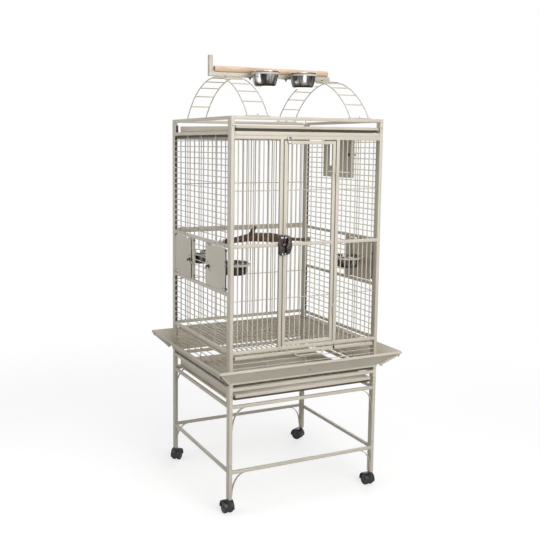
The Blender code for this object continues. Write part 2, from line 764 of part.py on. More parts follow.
def top_tray():
    """Shallow tray of the play top, with a front apron that covers the roof bars' edge."""
    shapes = [pan(TRAY_HALF_WIDTH, -TRAY_HALF_DEPTH, TRAY_HALF_DEPTH, TOP_TRAY_Z, TOP_TRAY_WALL)]
    shapes.append(tray_lip(TRAY_HALF_WIDTH + 0.003, -TRAY_HALF_DEPTH, TOP_TRAY_Z + 0.005))
    shapes.append(box(
        (-TRAY_HALF_WIDTH + 0.012, -TRAY_HALF_DEPTH, TOP_TRAY_Z - TOP_TRAY_APRON),
        (TRAY_HALF_WIDTH - 0.012, -TRAY_HALF_DEPTH + TRAY_SHEET, TOP_TRAY_Z + WELD)))
    place("top_tray", welded(shapes), STEEL)


def floor_grate():
    """Slide-out floor grate: rod frame, lengthwise wires, front bar and a wire handle."""
    z = GRATE_Z
    half_x = TRAY_HALF_WIDTH + 0.002
    back_y = TRAY_HALF_DEPTH
    front_y = -RAIL_OUT_Y
    low_z = z - RAIL_HEIGHT / 2
    start_y = front_y + RAIL_DEPTH
    shapes = [box((-half_x, front_y, low_z), (half_x, start_y, low_z + RAIL_HEIGHT))]
    shapes += flat_frame(half_x - 0.0005, start_y - WELD, back_y, z)
    for x in evenly(-half_x, half_x, BAR_PITCH):
        shapes.append(rod((x, start_y + RIM_BAR / 2, z), (x, back_y - RIM_BAR / 2, z), BAR_RADIUS))
    handle_y = front_y - HANDLE_REACH
    shapes.append(bent_rod([
        (-HANDLE_HALF_WIDTH, front_y + WELD, z),
        (-HANDLE_HALF_WIDTH, handle_y, z - 0.004),
        (-HANDLE_HALF_WIDTH + 0.006, handle_y - 0.004, z - 0.006),
        (HANDLE_HALF_WIDTH - 0.006, handle_y - 0.004, z - 0.006),
        (HANDLE_HALF_WIDTH, handle_y, z - 0.004),
        (HANDLE_HALF_WIDTH, front_y + WELD, z),
    ], WIRE_RADIUS * 1.2))
    place("floor_grate", welded(shapes), STEEL)


def gusset(face, side, rail_z):
    """Curved wire brace from under a rail to the leg."""
    y = face * (RAIL_OUT_Y - RAIL_DEPTH / 2)
    points = []
    for index in range(9):
        angle = math.radians(90 * index / 8)
        x = POST_IN_X - GUSSET_REACH * (1 - math.sin(angle))
        z = rail_z - GUSSET_DROP * (1 - math.cos(angle))
        points.append((side * x, y, z))
    points[0] = (points[0][0], y, rail_z + WELD)
    points[-1] = (side * (POST_IN_X + WELD), y, points[-1][2] - 0.004)
    return bent_rod(points, GUSSET_RADIUS)


def stand_end_frame(name):
    """Front or back frame of the stand: two legs, three rails and four curved braces."""
    face = FACES[name]
    reach = POST_IN_X + WELD
    shapes = posts(face, LEG_FOOT_HEIGHT, STAND_HEIGHT)
    for z in (STRETCHER_HEIGHT, LOWER_RAIL_HEIGHT, UPPER_RAIL_HEIGHT):
        shapes.append(front_rail(face, -reach, reach, z))
    for side in SIDES.values():
        for z in (STRETCHER_HEIGHT, LOWER_RAIL_HEIGHT):
            shapes.append(gusset(face, side, z))
    place("stand_" + name + "_frame", welded(shapes), STEEL)


def stand_side(name):
    """Side of the stand: two rails and a tray runner on end strips, and a separate low stretcher."""
    side = SIDES[name]
    half = SIDE_SPAN - WELD
    shapes = end_strips(side, LOWER_RAIL_HEIGHT, UPPER_RAIL_HEIGHT + RAIL_HEIGHT)
    for z in (LOWER_RAIL_HEIGHT, UPPER_RAIL_HEIGHT):
        shapes.append(side_rail(side, z, half))
    shapes.append(runner(side, TRAY_Z - GAP))
    place("stand_" + name + "_frame", welded(shapes), STEEL)
    place("stand_" + name + "_stretcher", side_rail(side, STRETCHER_HEIGHT, SIDE_SPAN), STEEL)


def front_door():
    """Front door: frame, middle rail, bars, cross wires and the door's hinge knuckles."""
    left = DOOR_LEFT + DOOR_CLEARANCE
    right = DOOR_RIGHT - DOOR_CLEARANCE
    low = BOTTOM_RAIL_TOP + DOOR_CLEARANCE
    high = DOOR_HEAD - DOOR_CLEARANCE
    front = -RAIL_OUT_Y
    back = -RAIL_IN_Y
    shapes = [
        box((left, front, low), (left + DOOR_STILE, back, high)),
        box((right - DOOR_STILE, front, low), (right, back, high)),
    ]
    inner_left = left + DOOR_STILE
    inner_right = right - DOOR_STILE
    for z in (low, high - RAIL_HEIGHT):
        shapes.append(box(
            (inner_left - WELD, front + RAIL_SETBACK, z),
            (inner_right + WELD, back - WELD / 2, z + RAIL_HEIGHT)))
    shapes.append(box(
        (inner_left - WELD, front + RAIL_SETBACK, MID_RAIL_Z),
        (inner_right + WELD, back - BAR_RADIUS, MID_RAIL_Z + RAIL_HEIGHT)))
    bar_y = back - BAR_RADIUS
    for index in range(DOOR_BARS):
        x = inner_left + (inner_right - inner_left) * (index + 1) / (DOOR_BARS + 1)
        foot = (x, bar_y, low + RAIL_HEIGHT - WELD)
        shapes.append(rod(foot, (x, bar_y, high - RAIL_HEIGHT + WELD), BAR_RADIUS, BAR_SIDES))
    tie_y = bar_y + BAR_RADIUS + WIRE_RADIUS - 0.0007
    for rise in TIE_RISE:
        z = CAGE_FOOT + rise
        shapes.append(rod((inner_left - 0.004, tie_y, z), (inner_right + 0.004, tie_y, z), WIRE_RADIUS))
    for rise in HINGE_RISE:
        shapes += hinge_knuckle(BOTTOM_RAIL_TOP + rise + GAP / 2, -1)
    place("front_door", welded(shapes), STEEL, (hinge_axis_x(), hinge_axis_y(), low))


def lock_height():
    """Height of the lock's lever, level with the middle rail."""
    return MID_RAIL_Z + RAIL_HEIGHT / 2


def rounded_block(low, high, radius, corners=4):
    """Block with its four upright outline corners rounded, seen from the front."""
    low = Vector(low)
    high = Vector(high)
    outline = []
    for centre_x, centre_z, start in (
            (high.x - radius, high.z - radius, 0), (low.x + radius, high.z - radius, 90),
            (low.x + radius, low.z + radius, 180), (high.x - radius, low.z + radius, 270)):
        for index in range(corners + 1):
            angle = math.radians(start + 90 * index / corners)
            outline.append((centre_x + radius * math.cos(angle), centre_z + radius * math.sin(angle)))
    bm = bmesh.new()
    front = [bm.verts.new((x, low.y, z)) for x, z in outline]
    face = bm.faces.new(front)
    pushed = bmesh.ops.extrude_face_region(bm, geom=[face])
    verts = [item for item in pushed["geom"] if isinstance(item, bmesh.types.BMVert)]
    bmesh.ops.translate(bm, verts=verts, vec=(0.0, high.y - low.y, 0.0))
    return mesh_of(bm)


def lock_pieces():
    """Lock case on the door, lever, and keeper on the door post."""
    z = lock_height()
    low = z - LOCK_HEIGHT / 2
    high = z + LOCK_HEIGHT / 2
    left = DOOR_LEFT + DOOR_CLEARANCE + WELD
    back = -RAIL_OUT_Y - GAP
    front = back - LOCK_THICKNESS
    case = rounded_block((left, front, low), (left + LOCK_WIDTH, back, high), 0.008)
    place("door_lock_case", case, LOCK_PAINT)

    keeper_right = DOOR_LEFT - WELD
    keeper_left = keeper_right - KEEPER_WIDTH
    keeper_front = front - KEEPER_STEP
    keeper_back = back - RAIL_SETBACK / 2
    keeper = rounded_block((keeper_left, keeper_front, low), (keeper_right, keeper_back, high), 0.006)
    step = box(
        (keeper_left - 0.01, keeper_front - 0.01, z - TONGUE_HALF - GAP * 2),
        (keeper_right + 0.01, front + GAP, high + 0.01))
    place("door_lock_keeper", cut(keeper, [step]), LOCK_PAINT)

    pivot = (left + 0.0125, front - GAP, z)
    tongue_front = pivot[1] - LEVER_THICKNESS
    handle_back = keeper_front - GAP * 2
    handle_front = handle_back - LEVER_THICKNESS * 1.6
    shapes = [rod((pivot[0], pivot[1], z), (pivot[0], handle_front + 0.0005, z), LEVER_HUB_RADIUS, 16)]
    shapes.append(box(
        (pivot[0] - LEVER_TONGUE, tongue_front, z - TONGUE_HALF),
        (pivot[0], pivot[1] - WELD / 2, z + TONGUE_HALF)))
    shapes.append(rounded_block(
        (pivot[0] - 0.0100, handle_front, z - LEVER_HANDLE),
        (pivot[0] + 0.0110, handle_back, z + 0.0125), 0.008))
    place("door_lock_lever", welded(shapes), LOCK_PAINT, pivot)


def door_top_latch():
    """Turn latch on the door's top rail that lies over the head rail."""
    x = DOOR_LEFT + DOOR_CLEARANCE + TOP_LATCH_OFFSET
    z = DOOR_HEAD - DOOR_CLEARANCE - RAIL_HEIGHT / 2
    back = -RAIL_OUT_Y - RAIL_SETBACK / 2 - GAP
    foot = -RAIL_OUT_Y + RAIL_SETBACK - GAP
    shapes = [rod((x, foot, z), (x, back - 0.007, z), 0.0055, 12)]
    shapes.append(box((x - 0.0028, back - 0.0045, z), (x + 0.0028, back - 0.0012, z + TOP_LATCH_FINGER)))
    shapes.append(box(
        (x - 0.0028, back - 0.0045, z + TOP_LATCH_FINGER - 0.0045),
        (x + 0.0100, back - 0.0012, z + TOP_LATCH_FINGER)))
    place("door_top_latch", welded(shapes), BRIGHT_STEEL, (x, back, z))


def door_plate(side, low_y, high_y, low_z, high_z):
    """Sheet door in a side wall."""
    low_x = min(side * (PLATE_X - SHEET / 2), side * (PLATE_X + SHEET / 2))
    return box((low_x, low_y, low_z), (low_x + SHEET, high_y, high_z))


def pivot_rod(side, y, sill, head):
    """Rod along a sheet door's edge that turns between two rails."""
    return rod((side * PLATE_X, y, sill + GAP), (side * PLATE_X, y, head - GAP), PIVOT_ROD_RADIUS, 8)


def bowl_ring(centre, low_z):
    """Flat band bent into a bowl ring."""
    high_z = low_z + RING_HEIGHT
    corners = [(RING_INNER, high_z), (RING_INNER, low_z), (RING_OUTER, low_z), (RING_OUTER, high_z)]
    band = turned(corners + corners[:1], RING_STEPS)
    return moved(band, Matrix.Translation((centre[0], centre[1], 0.0)))


def feeder_door(name, face):
    """Feeder door with its pivot rod and the bowl ring on its inner side, plus its latch and bowl."""
    side = SIDES[name]
    tag = name + ("_front" if face < 0 else "_rear")
    near = face * (FEEDER_NEAR + PLATE_CLEARANCE)
    pivot = face * PIVOT_Y
    low_z = FEEDER_SILL + PLATE_CLEARANCE
    high_z = MID_RAIL_Z - PLATE_CLEARANCE
    shapes = [door_plate(side, min(near, pivot), max(near, pivot), low_z, high_z)]
    shapes.append(pivot_rod(side, pivot, FEEDER_SILL, MID_RAIL_Z))
    centre = (side * (HALF_WIDTH - RING_STANDOFF[name] - RING_OUTER), (near + pivot) / 2)
    ring_z = FEEDER_SILL + RING_RISE
    shapes.append(bowl_ring(centre, ring_z))
    for shift in (-RING_ARM, RING_ARM):
        start = abs(centre[0]) + math.sqrt(RING_INNER ** 2 - RING_ARM ** 2) + RING_WALL / 2
        shapes.append(box(
            (min(side * start, side * PLATE_X), centre[1] + shift - 0.001, ring_z + 0.0005),
            (max(side * start, side * PLATE_X), centre[1] + shift + 0.001, ring_z + RING_HEIGHT - 0.0005)))
    place("feeder_door_" + tag, welded(shapes), STEEL, (side * PLATE_X, pivot, low_z))

    latch_y = face * (FEEDER_NEAR + PLATE_CLEARANCE + 0.018)
    turn_latch("feeder_latch_" + tag, side, latch_y, (low_z + high_z) / 2 - 0.006, -face)
    bowl("feeder_bowl_" + tag, centre, ring_z + RING_HEIGHT)


def turn_latch(name, side, y, z, toward):
    """Turn latch on a sheet door: a hub and a winged finger that lies over the edge strip."""
    x = side * (RAIL_OUT_X + GAP)
    shapes = [rod((x, y, z), (x + side * 0.006, y, z), TURN_LATCH_HUB, 12)]
    inner = x + side * 0.0004
    outer = inner + side * TURN_LATCH_THICKNESS
    tip = y + toward * TURN_LATCH_LENGTH
    shapes.append(box(
        (min(inner, outer), min(y, tip), z - 0.0035), (max(inner, outer), max(y, tip), z + 0.0035)))
    root = x + side * 0.002
    grip = x + side * 0.013
    shapes.append(box((min(root, grip), y - 0.0015, z - 0.008), (max(root, grip), y + 0.0015, z + 0.008)))
    place(name, welded(shapes), BRIGHT_STEEL, (x, y, z))


def bowl(name, centre, ring_top):
    """Tapered steel bowl hung by its rolled rim on a ring."""
    rim_low = ring_top + GAP
    top = rim_low + BOWL_RIM
    bottom = top - BOWL_DEPTH
    rim = BOWL_NECK + BOWL_LIP
    foot = bottom + 0.006
    profile = [
        (0.0, bottom + BOWL_WALL),
        (BOWL_BOTTOM_RADIUS - 0.005, bottom + BOWL_WALL),
        (BOWL_BOTTOM_RADIUS - 0.0008, foot),
        (BOWL_NECK - BOWL_WALL, top - 0.001),
        (BOWL_NECK + 0.001, top),
        (rim - 0.0010, top - 0.0006),
        (rim, rim_low + 0.0012),
        (rim - 0.0012, rim_low),
        (BOWL_NECK, rim_low),
        (BOWL_BOTTOM_RADIUS + 0.0006, foot),
        (BOWL_BOTTOM_RADIUS - 0.0045, bottom),
        (0.0, bottom),
    ]
    mesh = moved(turned(profile, RING_STEPS), Matrix.Translation((centre[0], centre[1], 0.0)))
    place(name, mesh, STAINLESS, (centre[0], centre[1], bottom), smooth=True)


def nest_box_door():
    """Nest box door with its hook slot, pivot rod and turn latch."""
    low_y, high_y, sill = nest_edges()
    low_y += PLATE_CLEARANCE
    low_z = sill + PLATE_CLEARANCE
    high_z = SIDE_HEAD - PLATE_CLEARANCE
    y = nest_pivot_y()
    plate = door_plate(1, low_y, y, low_z, high_z)
    slot_high = y - PIVOT_ROD_RADIUS - NEST_SLOT_EDGE
    slot_low_z = (low_z + high_z - NEST_SLOT_HEIGHT) / 2
    slot = box(
        (RAIL_IN_X, slot_high - NEST_SLOT_WIDTH, slot_low_z),
        (HALF_WIDTH + 0.01, slot_high, slot_low_z + NEST_SLOT_HEIGHT))
    shapes = [cut(plate, [slot])]
    shapes.append(pivot_rod(1, y, sill, SIDE_HEAD))
    place("nest_box_door", welded(shapes), STEEL, (PLATE_X, y, low_z))
    turn_latch("nest_box_latch", 1, low_y + 0.013, (low_z + high_z) / 2, -1)


def arch_point(angle, x):
    """Point of a ladder's arch at an angle from its top."""
    turn = math.radians(angle)
    return (x, ARCH_RADIUS * math.sin(turn), ARCH_TOP_Z - ARCH_RADIUS * (1 - math.cos(turn)))


def ladder(name, side):
    """Arched ladder: two bent rails, rungs and a foot plate at each end."""
    middle = side * LADDER_SPREAD
    shapes = []
    plate_top = TOP_Z + GAP + FOOT_PLATE
    for x in (middle - LADDER_HALF_WIDTH, middle + LADDER_HALF_WIDTH):
        turns = [ARCH_ANGLE * (2 * index / ARCH_STEPS - 1) for index in range(ARCH_STEPS + 1)]
        points = [arch_point(turn, x) for turn in turns]
        shapes.append(bent_rod(points, ARCH_RAIL_RADIUS))
    for index in range(RUNGS):
        angle = RUNG_STEP * (index - (RUNGS - 1) / 2)
        low = arch_point(angle, middle - LADDER_HALF_WIDTH + 0.0008)
        high = arch_point(angle, middle + LADDER_HALF_WIDTH - 0.0008)
        shapes.append(rod(low, high, RUNG_RADIUS))
    reach = LADDER_HALF_WIDTH + 0.0075
    for face in FACES.values():
        outer = face * (HALF_DEPTH - 0.001)
        inner = face * (RAIL_IN_Y + 0.0005)
        shapes.append(box(
            (middle - reach, min(outer, inner), TOP_Z + GAP), (middle + reach, max(outer, inner), plate_top)))
    place(name, welded(shapes), STEEL)


def perch_bar():
    """Square bar over both ladders, with its upright end and the two bowl rings."""
    half = PERCH_BAR / 2
    low = PERCH_Z
    high = PERCH_Z + PERCH_BAR
    shapes = [box((PERCH_BAR_LEFT, -half, low), (PERCH_BAR_RIGHT, half, high))]
    shapes.append(box(
        (PERCH_BAR_LEFT + 0.0003, -half + 0.0003, low + WELD),
        (PERCH_BAR_LEFT + PERCH_BAR, half - 0.0003, low + PERCH_POST_RISE)))
    ring_z = high - RING_HEIGHT - 0.001
    for x in TOP_BOWL_PLACES:
        centre = top_bowl_centre(x)
        shapes.append(bowl_ring(centre, ring_z))
        for shift in (-RING_ARM, RING_ARM):
            start = centre[1] + math.sqrt(RING_INNER ** 2 - RING_ARM ** 2) + RING_WALL / 2
            shapes.append(box(
                (x + shift - 0.001, start, ring_z + 0.0005),
                (x + shift + 0.001, -half + WELD, ring_z + RING_HEIGHT - 0.0005)))
    place("perch_bar", welded(shapes), STEEL)
    for x, name in zip(TOP_BOWL_PLACES, SIDES):
        bowl("top_bowl_" + name, top_bowl_centre(x), ring_z + RING_HEIGHT)


def top_bowl_centre(x):
    """Middle of a play top bowl, one ring in front of the perch bar."""
    return (x, -PERCH_BAR / 2 - RING_OUTER - TOP_RING_STANDOFF)


def perch_dowel():
    """Wooden dowel on top of the perch bar."""
    z = PERCH_Z + PERCH_BAR + GAP + DOWEL_RADIUS
    place("perch_dowel", rod((DOWEL_LEFT, 0.0, z), (DOWEL_RIGHT, 0.0, z), DOWEL_RADIUS, 16), DOWEL_WOOD)


def branch_end(side):
    """Where a branch end bolts to a side wall: height, and the wall's inner and outer face there."""
    if side < 0:
        return MID_RAIL_TOP + BRANCH_STUD + 0.002, RAIL_IN_X, RAIL_OUT_X
    wires = evenly(FEEDER_SILL, MID_RAIL_Z, MESH_PITCH)
    return (wires[-3] + wires[-2]) / 2, WIRE_X - WIRE_RADIUS, WIRE_X + WIRE_RADIUS


def branch_point(spot):
    """Place in the cage of one entry of the branch's route."""
    return (spot[0] * RAIL_IN_X, spot[1] * RAIL_IN_Y, MID_RAIL_TOP + spot[2] * BRANCH_FALL)


def branch_perch():
    """Natural branch across the cage, held by a bolt through each side wall."""
    points = [branch_point(spot) for spot in BRANCH_ROUTE]
    radii = [spot[3] for spot in BRANCH_ROUTE]
    for side, (share, radius) in zip(SIDES.values(), BRANCH_ENDS):
        z, inner, outer = branch_end(side)
        y = share * RAIL_IN_Y
        stop = inner - BRANCH_WASHER_THICKNESS - 2 * GAP
        tail = [(side * (stop - BRANCH_SQUARE_END), y, z), (side * stop, y, z)]
        if side < 0:
            points = tail[::-1] + points
            radii = [radius, radius] + radii
        else:
            points += tail
            radii += [radius, radius]
        branch_bolt(side, y, z, inner, outer)
    low, high = [branch_point(spot) for spot in BRANCH_STUB]
    thick, thin = [spot[3] * BRANCH_RADIUS for spot in BRANCH_STUB]
    stub = rod(low, high, thick, 8, thin)
    wood = welded([bent_rod(points, BRANCH_RADIUS, resolution=2, radii=radii), stub])
    place("branch_perch", wood, BRANCH_WOOD, smooth=True)


def branch_bolt(side, y, z, inner, outer):
    """Bolt between the wires: inner washer, stud, outer washer and wing nut."""
    inner -= GAP
    outer += GAP
    shapes = []
    for start, end, radius, sides in (
            (inner - BRANCH_WASHER_THICKNESS, inner, BRANCH_WASHER, 16),
            (inner - 0.0007, outer + 0.0117, BRANCH_STUD, 8),
            (outer, outer + BRANCH_WASHER_THICKNESS, BRANCH_WASHER, 16),
            (outer + 0.0007, outer + 0.0082, 0.0045, 10)):
        shapes.append(rod((side * start, y, z), (side * end, y, z), radius, sides))
    low = side * (outer + BRANCH_WASHER_THICKNESS + 0.0012)
    high = side * (outer + 0.0102)
    shapes.append(box((min(low, high), y - 0.0125, z - 0.0012), (max(low, high), y + 0.0125, z + 0.0012)))
    place("branch_bolt_left" if side < 0 else "branch_bolt_right", welded(shapes), BRIGHT_STEEL)


def crosswise(centre, low_y, high_y, radius, sides):
    """Round bar along Y about a point given in X and Z."""
    return rod((centre[0], low_y, centre[1]), (centre[0], high_y, centre[1]), radius, sides)


def caster(corner, side, face):
    """Hooded twin-wheel caster: swivelling hood with web and stem, and a pair of wheels on one axle."""
    axis = Vector((side * (HALF_WIDTH - POST_WIDTH / 2), face * (HALF_DEPTH - POST_DEPTH / 2), 0.0))
    turn = Matrix.Translation(axis) @ Matrix.Rotation(math.radians(CASTER_TURN[corner]), 4, "Z")
    outer_radius = WHEEL_RADIUS + HOOD_CLEARANCE + HOOD_SHEET
    half_width = WHEEL_GAP / 2 + WHEEL_WIDTH + 0.0010
    centre = (CASTER_TRAIL, WHEEL_RADIUS)
    stem = rod((0.0, 0.0, WHEEL_RADIUS + 0.004), (0.0, 0.0, LEG_FOOT_HEIGHT - GAP), STEM_RADIUS, 10)
    drum = crosswise(centre, -half_width, half_width, outer_radius, 18)
    far = CASTER_TRAIL + 2 * outer_radius
    below = box((-far, -far, -far), (far, far, WHEEL_RADIUS - HOOD_DROP))
    room = [
        crosswise(centre, HOOD_WEB / 2, far, WHEEL_RADIUS + HOOD_CLEARANCE, 18),
        crosswise(centre, -far, -HOOD_WEB / 2, WHEEL_RADIUS + HOOD_CLEARANCE, 18),
    ]
    bore = crosswise(centre, -HOOD_WEB, HOOD_WEB, AXLE_RADIUS + AXLE_PLAY, 12)
    hood = cut(welded([drum, stem]), room + [bore, below])
    place("caster_hood_" + corner, moved(hood, turn), CASTER_PLASTIC, axis)

    edge = WHEEL_GAP / 2 + WHEEL_WIDTH
    shapes = [crosswise(centre, -edge + 0.003, edge - 0.003, AXLE_RADIUS, 12)]
    shapes.append(crosswise(centre, WHEEL_GAP / 2, edge, WHEEL_RADIUS, 20))
    shapes.append(crosswise(centre, -edge, -WHEEL_GAP / 2, WHEEL_RADIUS, 20))
    middle = turn @ Vector((CASTER_TRAIL, 0.0, WHEEL_RADIUS))
    place("caster_wheels_" + corner, moved(welded(shapes), turn), CASTER_PLASTIC, middle)


def casters():
    """The four casters."""
    for face_name, face in FACES.items():
        for side_name, side in SIDES.items():
            caster(face_name + "_" + side_name, side, face)


clear_scene()
PARTS = make_collection("play_top_bird_cage")
STEEL = make_material("ivory powder coat", (0.68, 0.63, 0.53), 0.45, 0.0)
BRIGHT_STEEL = make_material("bright steel", (0.62, 0.61, 0.58), 0.3, 1.0)
STAINLESS = make_material("polished stainless", (0.60, 0.59, 0.57), 0.15, 1.0)
LOCK_PAINT = make_material("dark lock paint", (0.045, 0.025, 0.025), 0.4, 0.0)
CASTER_PLASTIC = make_material("black plastic", (0.02, 0.02, 0.022), 0.45, 0.0)
DOWEL_WOOD = make_material("pale dowel wood", (0.70, 0.47, 0.29), 0.6, 0.0)
BRANCH_WOOD = make_material("branch wood", (0.17, 0.10, 0.06), 0.8, 0.0)

cage_front_frame()
cage_back_frame()
front_grilles()
back_grille()
side_frame("left")
side_frame("right")
side_grilles()
roof_grille()
seed_guards()
stand_end_frame("front")
stand_end_frame("back")
stand_side("left")
stand_side("right")
stand_tray()
top_tray()
floor_grate()
front_door()
lock_pieces()
door_top_latch()
feeder_door("left", 1)
feeder_door("left", -1)
feeder_door("right", -1)
nest_box_door()
ladder("ladder_left", -1)
ladder("ladder_right", 1)
perch_bar()
perch_dowel()
branch_perch()
casters()
bpy.context.view_layer.update()
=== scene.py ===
# %% [markdown]
# A play top bird cage, dressed piece by piece.
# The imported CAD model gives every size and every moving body. Here each of its plain solids gets
# a finished twin: rounded tube instead of sharp bars, round wire, rolled sheet edges, turned
# bowls, and the small screws and clamps that the real cage is put together with.
# Everything is in metres, the front faces -Y, and the floor is at height zero.

# %% Load the frame
import math

import bpy
from mathutils import Matrix, Vector


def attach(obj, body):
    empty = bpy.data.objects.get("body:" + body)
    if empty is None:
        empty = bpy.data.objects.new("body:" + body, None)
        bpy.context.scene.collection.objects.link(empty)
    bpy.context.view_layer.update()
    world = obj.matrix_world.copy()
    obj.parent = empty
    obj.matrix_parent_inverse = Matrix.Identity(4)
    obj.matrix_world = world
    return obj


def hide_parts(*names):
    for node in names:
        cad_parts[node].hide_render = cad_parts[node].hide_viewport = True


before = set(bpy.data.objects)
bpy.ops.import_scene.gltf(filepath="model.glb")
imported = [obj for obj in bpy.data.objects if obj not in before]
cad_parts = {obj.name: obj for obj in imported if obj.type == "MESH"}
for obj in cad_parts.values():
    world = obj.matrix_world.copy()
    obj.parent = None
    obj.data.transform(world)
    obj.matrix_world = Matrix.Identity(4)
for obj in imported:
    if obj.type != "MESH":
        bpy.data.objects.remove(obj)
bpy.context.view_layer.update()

# %% [markdown]
# The camera stands where the photograph was taken: a little above the door lock, well to the
# left of the cage. Its place could be found by eye, but a cage is full of straight edges, so
# it was worked out from their meeting points. The lens shift moves the frame and not the view.

# %% The camera
camera_data = bpy.data.cameras.new("photo_camera")
camera_data.sensor_width = 36.0
camera_data.lens = 53.13
camera_data.shift_x = 0.0601
camera_data.shift_y = -0.0494
camera = bpy.data.objects.new("photo_camera", camera_data)
bpy.context.scene.collection.objects.link(camera)
right = Vector((0.90570, -0.42386, 0.00772))
upward = Vector((0.04480, 0.11381, 0.99249))
forward = Vector((0.42155, 0.89855, -0.12207))
eye = Vector((-1.42085, -2.71427, 1.30158))
axes = Matrix((right, upward, -forward)).transposed().to_4x4()
camera.matrix_world = Matrix.Translation(eye) @ axes
bpy.context.scene.camera = camera
print("camera height:", round(camera.location.z, 3))

# %% [markdown]
# A product picture has no visible room. A wide pale floor catches a soft shadow, and the
# world is white wherever the camera or a shiny surface looks past the floor. The lamps are
# large, so that shadows stay soft. The strongest stand in front and above, fairly near, so that
# the inside of the cage falls off in tone. A smaller one lights the stand, one at the left keeps
# that side alive, and one behind does the same for the views from the back.
# Every shader node is added by one helper, which keeps each finish to a few lines.

# %% Floor, lamps and world
WHITE = (1.0, 1.0, 1.0, 1.0)


def add_node(owner, kind, values=None, wires=None, **settings):
    """Add a shader node with properties, fixed inputs and linked inputs; gives its outputs."""
    tree = owner.node_tree
    made = tree.nodes.new("ShaderNode" + kind)
    for key, value in settings.items():
        setattr(made, key, value)
    for key, value in (values or {}).items():
        made.inputs[key].default_value = value
    for key, source in (wires or {}).items():
        tree.links.new(source, made.inputs[key])
    return made.outputs


def new_paint(name, values):
    """A Principled material and its shader, with some of the shader's inputs set."""
    paint = bpy.data.materials.new(name)
    paint.use_nodes = True
    shader = paint.node_tree.nodes["Principled BSDF"]
    for key, value in values.items():
        shader.inputs[key].default_value = value
    return paint, shader


def lamp(name, place, aim, size, power):
    """A square soft lamp that points at a place and isn't seen itself."""
    data = bpy.data.lights.new(name, "AREA")
    data.shape = "SQUARE"
    data.size = size
    data.energy = power
    made = bpy.data.objects.new(name, data)
    bpy.context.scene.collection.objects.link(made)
    made.visible_camera = False
    made.location = place
    made.rotation_euler = (Vector(aim) - Vector(place)).to_track_quat("-Z", "Y").to_euler()


def combined(owner, operation, first, second):
    """Two factors combined by a math operation, such as their product or the larger one."""
    return add_node(owner, "Math", None, {0: first, 1: second}, operation=operation)[0]


def studio_floor():
    """A wide floor that turns white for the camera but keeps the shadow."""
    bpy.ops.object.select_all(action="DESELECT")
    bpy.ops.mesh.primitive_plane_add(size=60.0, location=(0.0, 0.0, -0.0004))
    bpy.ops.object.transform_apply(location=True, rotation=True, scale=True)
    floor = bpy.context.object
    floor.name = "studio_floor"
    paint, shader = new_paint("studio floor paint", {
        "Base Color": (0.45, 0.45, 0.45, 1.0), "Roughness": 0.9, "Specular IOR Level": 0.0,
        "Emission Color": WHITE})
    links = paint.node_tree.links
    path = add_node(paint, "LightPath")
    seen = combined(paint, "MAXIMUM", path["Is Camera Ray"], path["Is Glossy Ray"])
    lift = add_node(paint, "Math", {1: 0.66}, {0: seen}, operation="MULTIPLY")[0]
    links.new(lift, shader.inputs["Emission Strength"])
    place = add_node(paint, "TexCoord")["Object"]
    reach = add_node(paint, "VectorMath", None, {0: place}, operation="LENGTH")["Value"]
    far = add_node(paint, "MapRange", {"From Min": 0.7, "From Max": 2.6}, {"Value": reach},
                   interpolation_type="SMOOTHSTEP")["Result"]
    glow = add_node(paint, "Emission", {"Strength": 1.0})[0]
    mix = add_node(paint, "MixShader", None, {
        0: combined(paint, "MULTIPLY", far, seen), 1: shader.outputs["BSDF"], 2: glow})[0]
    links.new(mix, paint.node_tree.nodes["Material Output"].inputs["Surface"])
    floor.data.materials.append(paint)


def white_world():
    """Even light from all round, and pure white where the background is seen."""
    world = bpy.data.worlds.new("studio_world")
    bpy.context.scene.world = world
    world.use_nodes = True
    world.node_tree.nodes.clear()
    path = add_node(world, "LightPath")
    seen = combined(world, "MAXIMUM", path["Is Camera Ray"], path["Is Glossy Ray"])
    seen = combined(world, "MAXIMUM", seen, path["Is Transmission Ray"])
    soft = add_node(world, "Background", {"Strength": 0.16})[0]
    white = add_node(world, "Background", {"Color": WHITE, "Strength": 1.0})[0]
    mix = add_node(world, "MixShader", None, {0: seen, 1: soft, 2: white})[0]
    add_node(world, "OutputWorld", None, {"Surface": mix})


studio_floor()
white_world()
lamp("front_lamp", (0.4, -2.5, 1.9), (0.0, 0.0, 0.9), 1.4, 35.0)
lamp("low_lamp", (-0.4, -2.2, 1.2), (0.0, 0.0, 0.1), 0.9, 14.0)
lamp("left_lamp", (-1.6, 0.0, 1.3), (0.0, 0.0, 0.9), 1.1, 8.6)
lamp("top_lamp", (0.1, -0.3, 4.0), (0.0, 0.0, 1.0), 1.6, 46.0)
lamp("back_lamp", (1.9, 2.2, 1.7), (0.0, 0.0, 0.8), 1.6, 22.0)
bpy.context.scene.view_settings.view_transform = "Standard"

# %% [markdown]
# Now the finishes. Each is one Principled shader whose colour, roughness and bump are varied
# by noise read from Object coordinates, so that it needs no image and no unwrapping.
# Every finish uses noise at two or three scales: a large one for tone, a small one for the
# grain, and sometimes a stretched one for brushing or wood. Most finishes need one tone only.

# %% Helpers for finishes
def noise(paint, scale, detail=2.0, stretch=(1.0, 1.0, 1.0)):
    """Noise on Object coordinates, stretched along an axis where the factors differ."""
    place = add_node(paint, "TexCoord")["Object"]
    place = add_node(paint, "Mapping", {"Scale": stretch}, {"Vector": place})["Vector"]
    return add_node(paint, "TexNoise", {"Scale": scale, "Detail": detail}, {"Vector": place})["Fac"]


def tones(paint, factor, *stops):
    """Turn a factor into colours."""
    ramp = paint.node_tree.nodes.new("ShaderNodeValToRGB")
    row = ramp.color_ramp.elements
    while len(row) < len(stops):
        row.new(0.5)
    for element, (place, colour) in zip(row, stops):
        element.position = place
        element.color = (*colour, 1.0)
    paint.node_tree.links.new(factor, ramp.inputs["Fac"])
    return ramp.outputs["Color"]


